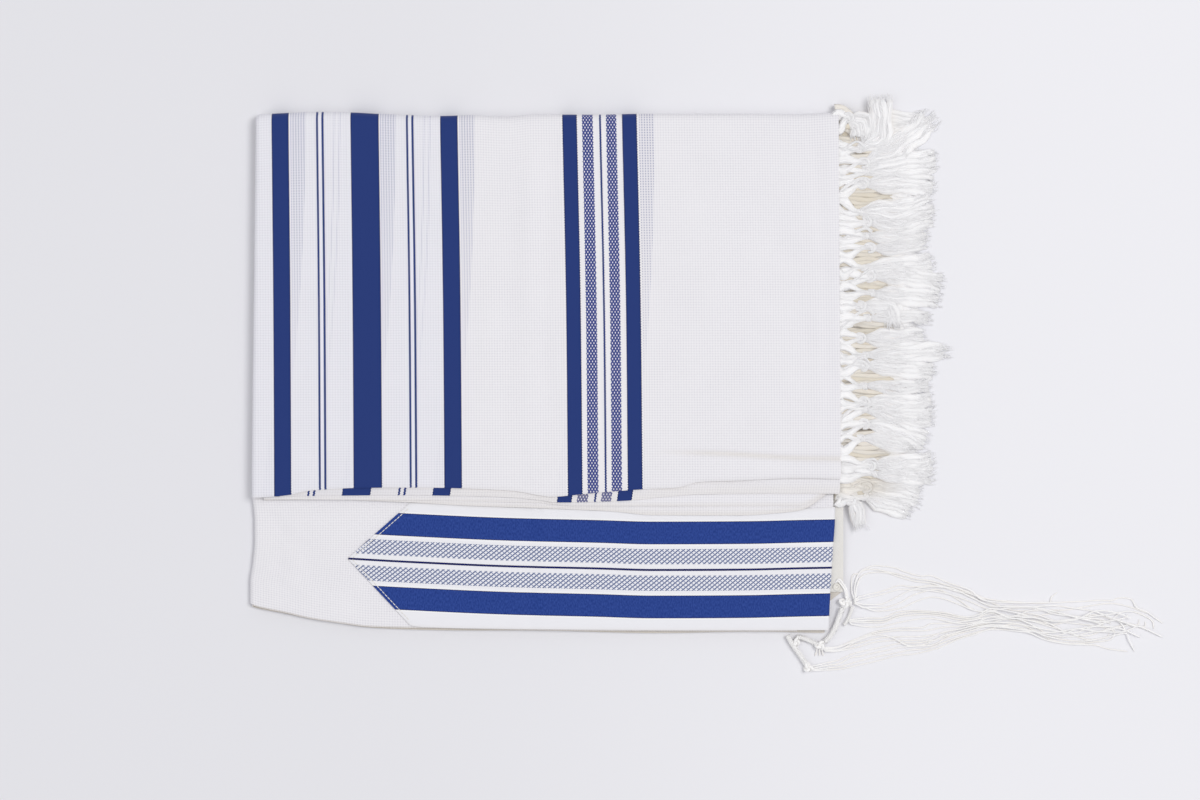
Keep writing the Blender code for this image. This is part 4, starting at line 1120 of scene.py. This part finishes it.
# ---- fringes -------------------------------------------------------------
# One row for each tied tassel: y at the hem, then the knot, the middle and the
# tip as x, y, and the tassel's width.
UPPER_TASSELS = [
    (163.5, 174.0, 166.2, 182.2, 162.1, 182.2, 149.1, 10.9),
    (145.7, 179.5, 144.4, 194.5, 155.3, 194.5, 183.3, 10.2),
    (134.1, 184.9, 135.5, 206.1, 145.7, 234.1, 170.3, 10.9),
    (125.3, 184.9, 129.4, 208.1, 134.1, 236.8, 137.5, 10.9),
    (118.4, 183.6, 121.2, 208.1, 122.5, 235.4, 119.8, 9.6),
    (106.8, 180.8, 102.0, 208.1, 102.0, 234.1, 110.2, 10.9),
    (95.2, 186.3, 95.2, 208.1, 92.5, 234.1, 99.3, 8.2),
    (85.7, 184.9, 85.7, 208.1, 85.7, 230.0, 89.8, 6.8),
    (76.1, 189.0, 77.5, 206.8, 77.5, 230.0, 82.9, 6.1),
    (65.2, 183.6, 63.8, 208.1, 63.8, 234.1, 67.9, 10.2),
    (54.3, 189.0, 57.7, 211.5, 58.4, 240.9, 52.9, 8.2),
    (47.4, 189.0, 46.8, 211.5, 44.7, 238.8, 42.0, 8.2),
    (37.9, 182.2, 37.9, 202.7, 37.9, 206.1, 21.5, 8.2),
    (27.0, 186.3, 29.7, 208.1, 31.1, 232.0, 29.7, 5.5),
    (17.4, 182.2, 16.0, 204.7, 16.0, 228.6, 17.4, 8.2),
    (6.5, 184.9, 4.4, 211.5, 5.1, 245.7, 7.8, 8.2),
    (-3.1, 183.6, -3.1, 208.1, -4.4, 235.4, -7.2, 8.2),
    (-14.0, 183.6, -16.7, 208.1, -18.1, 232.0, -16.0, 6.1),
    (-24.9, 184.9, -27.6, 208.1, -29.7, 234.1, -27.6, 8.9),
    (-35.8, 183.6, -33.1, 208.1, -38.6, 234.1, -39.9, 6.8),
    (-46.8, 184.9, -42.7, 204.7, -46.8, 230.0, -55.6, 8.9),
    (-56.3, 182.2, -52.2, 197.9, -54.9, 218.4, -59.0, 6.8),
    (-68.6, 189.0, -71.3, 208.1, -71.3, 234.1, -67.2, 8.9),
    (-76.8, 190.4, -76.8, 211.5, -78.2, 234.1, -79.5, 6.8),
]
LOWER_TASSELS = [
    (167.6, 182.2, 164.8, 199.9, 166.2, 225.2, 164.2, 7.5),
    (155.3, 184.9, 152.6, 202.7, 157.3, 224.5, 160.1, 6.1),
    (140.3, 183.6, 137.5, 201.3, 134.1, 225.9, 144.4, 6.8),
    (128.0, 182.2, 125.3, 201.3, 119.8, 224.5, 117.1, 6.8),
    (117.1, 182.2, 114.3, 202.7, 110.9, 223.1, 106.1, 6.1),
    (106.1, 182.2, 110.2, 199.9, 107.5, 225.9, 95.2, 6.1),
    (93.9, 183.6, 91.1, 201.3, 89.1, 224.5, 87.0, 6.1),
    (82.9, 182.2, 81.6, 199.9, 79.5, 223.1, 74.7, 6.1),
    (72.0, 182.2, 72.0, 199.9, 69.3, 221.8, 70.6, 6.8),
    (61.1, 183.6, 54.9, 201.3, 50.2, 227.2, 47.4, 6.1),
    (50.2, 182.2, 48.8, 198.6, 47.4, 223.1, 44.7, 6.1),
    (39.2, 183.6, 33.8, 199.9, 32.4, 225.9, 33.8, 6.1),
    (28.3, 182.2, 24.2, 201.3, 21.5, 223.1, 22.9, 6.1),
    (16.0, 183.6, 11.9, 199.9, 10.6, 224.5, 11.9, 6.1),
    (5.1, 182.2, -0.3, 201.3, -0.3, 225.9, -0.3, 6.1),
    (-5.8, 182.2, -11.3, 198.6, -12.6, 224.5, -12.6, 6.1),
    (-16.7, 183.6, -22.2, 201.3, -23.5, 221.8, -23.5, 6.1),
    (-27.6, 182.2, -24.9, 198.6, -34.5, 223.1, -35.8, 6.1),
    (-38.6, 182.2, -38.6, 199.9, -42.7, 223.1, -46.8, 6.1),
    (-49.5, 183.6, -57.7, 201.3, -63.1, 223.1, -61.8, 6.1),
    (-60.4, 182.2, -63.1, 198.6, -65.9, 217.7, -68.6, 6.1),
    (-74.1, 184.9, -80.9, 202.7, -82.9, 225.9, -85.0, 8.2),
    (-83.6, 186.3, -86.3, 204.7, -89.1, 225.2, -94.5, 9.6),
    (-89.1, 184.9, -92.5, 201.3, -98.0, 218.4, -104.1, 8.2),
    (-91.5, 175.5, -94.5, 179.5, -103.5, 181.5, -116.4, 6.6),
]
# Height of the fringe above the table, out from the hem.
UPPER_TOP = [(166, 12.0), (174, 11.6), (182, 10.2), (194, 8.2), (208, 5.8), (222, 3.8),
             (232, 2.4)]
LOWER_TOP = [(166, 8.4), (174, 7.8), (182, 6.2), (194, 4.4), (208, 3.0), (222, 2.0),
             (232, 1.4)]


def bundle(axis, count, wide, thick, roll, rng, r, sides, waver=0.3):
    """Yarns laid side by side round an axis; roll turns the flat bundle along it."""
    axis = np.asarray(axis, float)
    m = len(axis)
    t = np.gradient(axis, axis=0)
    t /= np.linalg.norm(t, axis=1, keepdims=True)
    a = np.cross(t, [0.0, 0.0, 1.0])
    a /= np.maximum(np.linalg.norm(a, axis=1, keepdims=True), 1e-6)
    b = np.cross(a, t)
    s = np.linspace(0, 1, m)
    wide, thick, roll = (np.broadcast_to(np.asarray(q, float), (m,))
                         for q in (wide, thick, roll))
    lines = []
    for q in range(count):
        e = (q + 0.5) / count * 2 - 1
        deep = rng.uniform(-1, 1) * math.sqrt(max(1 - e * e, 0.1))
        p, n = e * wide / 2, deep * thick / 2
        wob = waver * np.sin(2 * math.pi * s * rng.uniform(0.8, 2.0) + rng.uniform(0, 6.3))
        wob = wob * np.sin(math.pi * s) ** 0.5
        off_a = p * np.cos(roll) - n * np.sin(roll) + wob
        off_b = p * np.sin(roll) + n * np.cos(roll)
        lines.append(axis + off_a[:, None] * a + off_b[:, None] * b)
    return tubes(np.array(lines), r, sides)


def lock(axis, half_wide, half_thick, roll, seed, sides=10):
    """A plump soft body round an axis, of flattened section turned by roll."""
    axis = np.asarray(axis, float)
    m = len(axis)
    t = np.gradient(axis, axis=0)
    t /= np.linalg.norm(t, axis=1, keepdims=True)
    a = np.cross(t, [0.0, 0.0, 1.0])
    a /= np.maximum(np.linalg.norm(a, axis=1, keepdims=True), 1e-6)
    b = np.cross(a, t)
    run = np.concatenate([[0], np.cumsum(np.linalg.norm(np.diff(axis, axis=0), axis=1))])
    wide, thick, roll = (np.broadcast_to(np.asarray(q, float), (m,))[:, None]
                         for q in (half_wide, half_thick, roll))
    ang = np.linspace(0, 2 * math.pi, sides, endpoint=False)[None, :]
    p, n = wide * np.cos(ang), thick * np.sin(ang)
    off_a = p * np.cos(roll) - n * np.sin(roll)
    off_b = p * np.sin(roll) + n * np.cos(roll)
    verts = (axis[:, None, :] + off_a[..., None] * a[:, None, :]
             + off_b[..., None] * b[:, None, :]).reshape(-1, 3)
    faces = []
    for i in range(m - 1):
        for k in range(sides):
            k2 = (k + 1) % sides
            faces.append((i * sides + k2, i * sides + k, (i + 1) * sides + k,
                          (i + 1) * sides + k2))
    faces.append(tuple(range(sides)))
    faces.append(tuple(range(m * sides - 1, (m - 1) * sides - 1, -1)))
    # the angle is folded so it has no seam
    fold = np.minimum(ang, 2 * math.pi - ang) + 0 * run[:, None]
    flat = np.stack([np.broadcast_to(run[:, None], fold.shape), fold,
                     np.full(fold.shape, seed * 7.31)], -1).reshape(-1, 3)
    return verts, faces, flat


def ties(rows, top, count, seed, low=0.0):
    """The tied start of each tassel: bundles from the hem, wound round one another."""
    rng = np.random.default_rng(seed)
    parts, painted_shades, bodies, body_painted_shades = [], [], [], []

    # each part comes with its painted shade
    def add(arrays, painted_shade):
        parts.append(arrays)
        painted_shades.append(np.full(len(arrays[0]), painted_shade))

    for n, (hem, kx, ky, mx, my, ex, ey, width) in enumerate(rows):
        hx = float(settle(np.array([165.0]), np.array([hem]))[0][0])
        roof = float(read(top, kx)) - 0.6
        kz = roof - 2.2
        long = kx - hx
        for side in (-1, 1):
            gap = rng.uniform(1.5, 4.6)
            out = side * (gap + rng.uniform(0.5, 3.2))
            lift = rng.uniform(-1.2, 0.2)
            pts = [(hx, hem + side * gap, float(read(top, hx)) - 1.9),
                   (hx + long * 0.30, (hem * 0.7 + ky * 0.3) + out,
                    float(read(top, hx + 5)) - 1.5 + lift),
                   (hx + long * 0.72, hem * 0.2 + ky * 0.8 + side * rng.uniform(0.2, 2.2),
                    kz + rng.uniform(0.4, 1.6)),
                   (kx + 0.6, ky + side * 0.4, kz)]
            axis = catmull(pts, 1.3)
            s = np.linspace(0, 1, len(axis))
            roll = rng.uniform(-0.25, 0.25) + side * rng.uniform(0.2, 1.9) * s
            wide = 8.2 - 4.2 * s
            bodies.append(lock(axis, wide * 0.48, 1.15 + 0.15 * s, roll, n * 3 + side, 8))
            body_painted_shades.append(np.full(len(bodies[-1][0]), low))
            add(bundle(axis, count, wide, 2.2, roll, rng, 0.27, 4), 0.02 + low)
        # wool lying deeper, which shows in the hollows, with painted shade
        for k in range(4):
            dy = (k - 0.5) * 2.7 + rng.uniform(-0.5, 0.5)
            if hem + dy > 162.0:
                continue
            reach = rng.uniform(34.0, 46.0)
            pts = [(hx - 1.5, hem + dy, float(read(top, hx)) - 2.9)]
            for f in (0.22, 0.55, 0.8, 1.0):
                at = hx + reach * f
                pts.append((at, hem + dy + rng.uniform(-1.6, 1.6),
                            max(float(read(top, at)) - 3.4 - 0.6 * f
                                + rng.uniform(-0.3, 0.3), 1.0)))
            axis = catmull(pts, 2.4)
            s = np.linspace(0, 1, len(axis))
            close = 1 - 0.75 * ease((s - 0.7) / 0.3)
            bodies.append(lock(axis, 1.9 * close, 1.15 * close, 0.0, n * 7 + k, 8))
            body_painted_shades.append(np.full(len(bodies[-1][0]), rng.uniform(0.55, 0.85)))
        # a third bundle crosses over to a neighbour now and then
        if n % 3 == 1:
            pts = [(hx + 0.4, hem - rng.uniform(4, 7), float(read(top, hx)) - 1.4),
                   (hx + long * 0.45, (hem + ky) / 2 + rng.uniform(-2, 2), roof + 0.2),
                   (kx - 1.0, ky + rng.uniform(3.5, 6.0), kz + 1.3),
                   (kx + 4.0, ky + rng.uniform(1.0, 3.0), kz + 0.2)]
            axis = catmull(pts, 1.3)
            s = np.linspace(0, 1, len(axis))
            roll = s * rng.uniform(1, 3)
            bodies.append(lock(axis, 1.5 - 0.4 * s, 0.8, roll, n * 5 + 1, 8))
            body_painted_shades.append(np.full(len(bodies[-1][0]), low))
            add(bundle(axis, 6, 3.2 - 0.8 * s, 1.8, roll, rng, 0.33, 4), low)
        # the wrap round the neck, its turns lying askew
        ry, rz = rng.uniform(2.0, 2.7), rng.uniform(1.7, 2.2)
        tilt, skew = rng.uniform(-1.7, 1.7), rng.uniform(-0.9, 0.9)
        ang = np.linspace(-0.5, 2 * math.pi + 0.9, 24)
        ring = np.column_stack([kx + tilt * np.cos(ang) + skew * np.sin(ang)
                                + 0.8 * (ang - math.pi) / math.pi,
                                ky + ry * np.cos(ang), kz + rz * np.sin(ang)])
        lines = []
        for q in range(5):
            lines.append(ring + np.array([(q - 2) * 0.62, 0, 0])
                         + rng.uniform(-0.12, 0.12, 3))
        add(tubes(np.array(lines), 0.36, 4), 0.03 + low)
        if n % 2 == 0:                       # a loop standing out of the knot
            turn = rng.uniform(-1.2, 1.2)
            ang = np.linspace(-2.6, 2.6, 16)
            loop = np.column_stack([
                kx - 1.5 + 3.4 * np.cos(ang + turn), ky + 3.0 * np.sin(ang + turn),
                kz + 1.2 + 0.9 * np.cos(ang)])
            bodies.append(lock(loop, 1.0, 0.8, ang * 0.4, n * 2 + 0.5, 8))
            body_painted_shades.append(np.full(len(bodies[-1][0]), low))
            add(bundle(loop, 5, 2.1, 1.6, ang * 0.4, rng, 0.33, 4), low)
        ball = catmull([(kx - 2.4, ky, kz), (kx, ky, kz), (kx + 2.6, ky, kz)], 0.8)
        s = np.linspace(0, 1, len(ball))
        bodies.append(lock(ball, 1.2 + 1.0 * np.sin(math.pi * s), 0.9 + 0.9 * np.sin(
            math.pi * s), 0.0, n * 11.0, 10))
        body_painted_shades.append(np.full(len(bodies[-1][0]), low))
    v, f, fl = joined(parts)
    bv, bf, bfl = joined(bodies)
    return (v, f, fl, np.concatenate(painted_shades)), (bv, bf, bfl, np.concatenate(body_painted_shades))


def fringe(rows, top, yarns, seed, step, sides, thick, deep_x, low=0.0):
    """The loose yarns of each tassel beyond its knot, in a few locks that wave alike."""
    rng = np.random.default_rng(seed)
    parts, painted_shades, bodies, body_painted_shades = [], [], [], []
    for n, (hem, kx, ky, mx, my, ex, ey, width) in enumerate(rows):
        kz = float(read(top, kx)) - 2.8
        axis = catmull([(kx, ky), ((kx + mx) / 2, (ky + my) / 2 + rng.uniform(-1.0, 1.0)),
                        (mx, my), (ex, ey)], step)
        m = len(axis)
        s = np.linspace(0, 1, m)
        tt = np.gradient(axis, axis=0)
        tt /= np.linalg.norm(tt, axis=1, keepdims=True)
        across = np.column_stack([-tt[:, 1], tt[:, 0]])
        locks = 4
        sway = [(rng.uniform(0.4, 1.1), rng.uniform(18, 34), rng.uniform(0, 6.3),
                 rng.uniform(-0.3, 0.3)) for _ in range(locks)]
        spread = 0.36 + 0.82 * ease(s / 0.28)
        for k in range(locks):               # the plump middle of each lock
            amp, length, phase, rise = sway[k]
            e = (k + 0.5) / locks * 2 - 1
            off = e * width * 0.60 * spread + amp * ease(s / 0.3) * np.sin(
                2 * math.pi * s * m * step / length + phase)
            xy = axis + across * off[:, None]
            keep = s < 0.93
            xy = xy[keep]
            sk = s[keep]
            roof = np.asarray(read(top, xy[:, 0]))
            plump = np.minimum(thick * 0.5, (roof - 0.5) / 2) * (0.55 + 0.45 * ease(sk / 0.25))
            plump = plump * (1 - 0.55 * ease((sk - 0.6) / 0.33))
            z = roof - 1.0 - plump - 0.9 * e * e + rise * ease(sk / 0.3)
            z = z * ease(sk / 0.12) + (kz + (z[0] - kz) * 0.4) * (1 - ease(sk / 0.12))
            z = np.maximum(z, plump + 0.1)
            wide = width * 0.60 / locks * spread[keep] * 1.75 * (
                1 - 0.45 * ease((sk - 0.7) / 0.23))
            part = lock(np.column_stack([xy, z]), wide, plump, rise * 0.9 + 0.5 * (
                sk - 0.5) * (k - 1.5), n * 4 + k, 10)
            bodies.append(part)
            # painted shade: the further a lock lies below the fringe's top, near the hem, the more shade is painted on
            # it
            under = np.clip((read(top, part[0][:, 0]) - 1.3 - part[0][:, 2])
                            / max(thick, 1.0), 0, 1)
            body_painted_shades.append(low + under * 0.6 * ease((deep_x + 14 - part[0][:, 0]) / 24.0))
        lines, radii, shade = [], [], []
        for q in range(yarns):
            e = (q + 0.5) / yarns * 2 - 1 + rng.uniform(-0.06, 0.06)
            which = max(min(int((e + 1) / 2 * locks), locks - 1), 0)
            amp, length, phase, rise = sway[which]
            layer = rng.uniform(-1, 1)
            off = e * width * 0.60 * spread
            off = off + amp * ease(s / 0.3) * np.sin(2 * math.pi * s * m * step / length + phase)
            off = off + (0.10 + 0.35 * s) * np.sin(
                2 * math.pi * s * m * step / rng.uniform(9, 18) + rng.uniform(0, 6.3))
            if rng.random() < 0.10:
                off = off + rng.uniform(-3.0, 3.0) * ease((s - 0.35) / 0.65)
            off = off + rng.uniform(-1.6, 1.6) * ease((s - 0.78) / 0.22)
            xy = axis + across * off[:, None]
            stop = rng.uniform(0.80, 1.0)
            xy = xy[0] + (xy - xy[0]) * (1 - (1 - stop) * ease((s - 0.3) / 0.7))[:, None]
            roof = np.asarray(read(top, xy[:, 0]))
            cap = np.sqrt(np.clip(1 - e * e * 0.85, 0.05, 1))
            body = np.minimum(thick * (0.40 + 0.60 * ease(s / 0.22)), roof - 0.7)
            z = roof - 0.80 - body * (0.18 - 0.18 * layer * cap) - 0.9 * (1 - cap)
            z = z + rise * ease(s / 0.3) + 0.2 * np.sin(s * 9 + rng.uniform(0, 6.3)) * s
            z = z * ease(s / 0.12) + (kz + (z[0] - kz) * 0.4) * (1 - ease(s / 0.12))
            z = np.maximum(z, 0.36)
            lines.append(np.column_stack([xy, z]))
            radii.append(0.27 * np.clip((1.02 - s) / 0.08, 0.5, 1.0))
            # painted shade on the yarns, the same way
            under = np.clip((roof - 1.6 - z) / max(thick, 1.0), 0, 1)
            shade.append(low + under * 0.55 * ease((deep_x + 14 - xy[:, 0]) / 24.0))
        parts.append(tubes(np.array(lines), np.array(radii), sides))
        painted_shades.append(np.repeat(np.array(shade).reshape(-1), sides))
    v, f, fl = joined(parts)
    bv, bf, bfl = joined(bodies)
    return (v, f, fl, np.concatenate(painted_shades)), (bv, bf, bfl, np.concatenate(body_painted_shades))


def painted_shade_near_hem(v, painted_shade, most):
    """Painted shade where the lower fringe lies in the shelter of the upper one."""
    x = v[:, 0]
    shelter = ease((214.0 - x) / 26.0) * ease((v[:, 1] + 96.0) / 10.0)
    return np.clip(painted_shade + most * shelter, 0.0, 0.9)


def put(name, arrays, mat, most=0.0):
    v, f, fl, painted_shade = arrays
    v[:, 2] = np.maximum(v[:, 2], 0.03)      # nothing sinks into the table
    return make(name, v, f, mat, fl, painted_shade_near_hem(v, painted_shade, most) if most else painted_shade)


loose, plump = fringe(UPPER_TASSELS, UPPER_TOP, 52, 11, 4.2, 4, 4.2, 208.0)
fringe_top = put("fringe_end_yarns", loose, yarn)
fringe_top_locks = put("fringe_end_locks", plump, wool_lock)
loose, plump = ties(UPPER_TASSELS, UPPER_TOP, 12, 5)
fringe_ties = put("fringe_end_ties", loose, yarn)
fringe_tie_locks = put("fringe_end_tie_locks", plump, wool_lock)
loose, plump = fringe(LOWER_TASSELS, LOWER_TOP, 30, 23, 4.6, 4, 3.2, 208.0)
fringe_low = put("fringe_second_end_yarns", loose, yarn, 0.5)
fringe_low_locks = put("fringe_second_end_locks", plump, wool_lock, 0.5)
loose, plump = ties(LOWER_TASSELS, LOWER_TOP, 7, 9)
fringe_low_ties = put("fringe_second_end_ties", loose, yarn, 0.5)
fringe_low_tie_locks = put("fringe_second_end_tie_locks", plump, wool_lock, 0.5)
UPPER_WOOL = [fringe_top, fringe_top_locks, fringe_ties, fringe_tie_locks]
LOWER_WOOL = [fringe_low, fringe_low_locks, fringe_low_ties, fringe_low_tie_locks]

# ---- what rides, and what it stands for ----------------------------------
for obj, nodes, slot in (
        (cloth_top, ["end_panel"], "shawl_cloth"),
        (cloth_second, ["second_end_panel"], "shawl_cloth"),
        (cloth_pair, ["centre_fold"], "shawl_cloth"),
        (cloth_centre, ["centre_panel"], "shawl_cloth"),
        (cloth_inner, ["hidden_layers"], "shawl_cloth"),
        (cloth_base, ["hidden_layers"], "shawl_cloth"),
        (atarah, ["atarah"], "neckband"), (stitches, ["atarah"], "neckband"),
        (patch, ["corner_patch"], "corner_tape"), (eyelet, ["corner_patch"], "corner_tape"),
        *((w, ["fringe_end"], "fringe_yarn") for w in UPPER_WOOL),
        *((w, ["fringe_second_end"], "fringe_yarn") for w in LOWER_WOOL)):
    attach(obj, "root")
    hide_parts(*nodes)

TABLE = "floor"
floor_mat = Graph("floor_paper", roughness=0.75, specular=0.15)
geo = floor_mat.tree.nodes.new("ShaderNodeTexCoord")
cloud = floor_mat.noise(geo.outputs["Object"], 3.0, 2.0)
pale = floor_mat.mix(floor_mat.m("MULTIPLY", cloud, 0.3), (0.80, 0.80, 0.835),
                     (0.83, 0.83, 0.862))
# painted light: the floor is lighter towards the right, where the key lamp stands
across = floor_mat.smooth(floor_mat.split(geo.outputs["Object"])[0], -0.20, 0.30)
floor_mat.colour(floor_mat.mix(across, pale, (0.865, 0.865, 0.90)))
bpy.ops.mesh.primitive_plane_add(size=8.0, location=(0, 0, -0.0002))
floor = bpy.context.object
floor.name = "floor"
floor.data.materials.append(floor_mat.mat)


# ---- light: one big soft source from the right, and a pale room ----------
def lamp(name, at, size, power, colour):
    data = bpy.data.lights.new(name, "AREA")
    data.shape = "DISK"
    data.size = size
    data.energy = power
    data.color = colour
    obj = bpy.data.objects.new(name, data)
    scene.collection.objects.link(obj)
    obj.location = at
    obj.rotation_mode = "QUATERNION"
    obj.rotation_quaternion = Vector(at).to_track_quat("Z", "Y")
    return obj


lamp("key", (2.0, 0.7, 4.5), 2.2, 100.0, (1.0, 0.99, 0.98))
lamp("fill", (-2.6, -1.1, 3.6), 3.2, 26.0, (0.98, 0.98, 1.0))
world = bpy.data.worlds.new("room")
scene.world = world
world.use_nodes = True
background = world.node_tree.nodes["Background"]
background.inputs[0].default_value = (0.985, 0.985, 1.0, 1.0)
background.inputs[1].default_value = 0.54
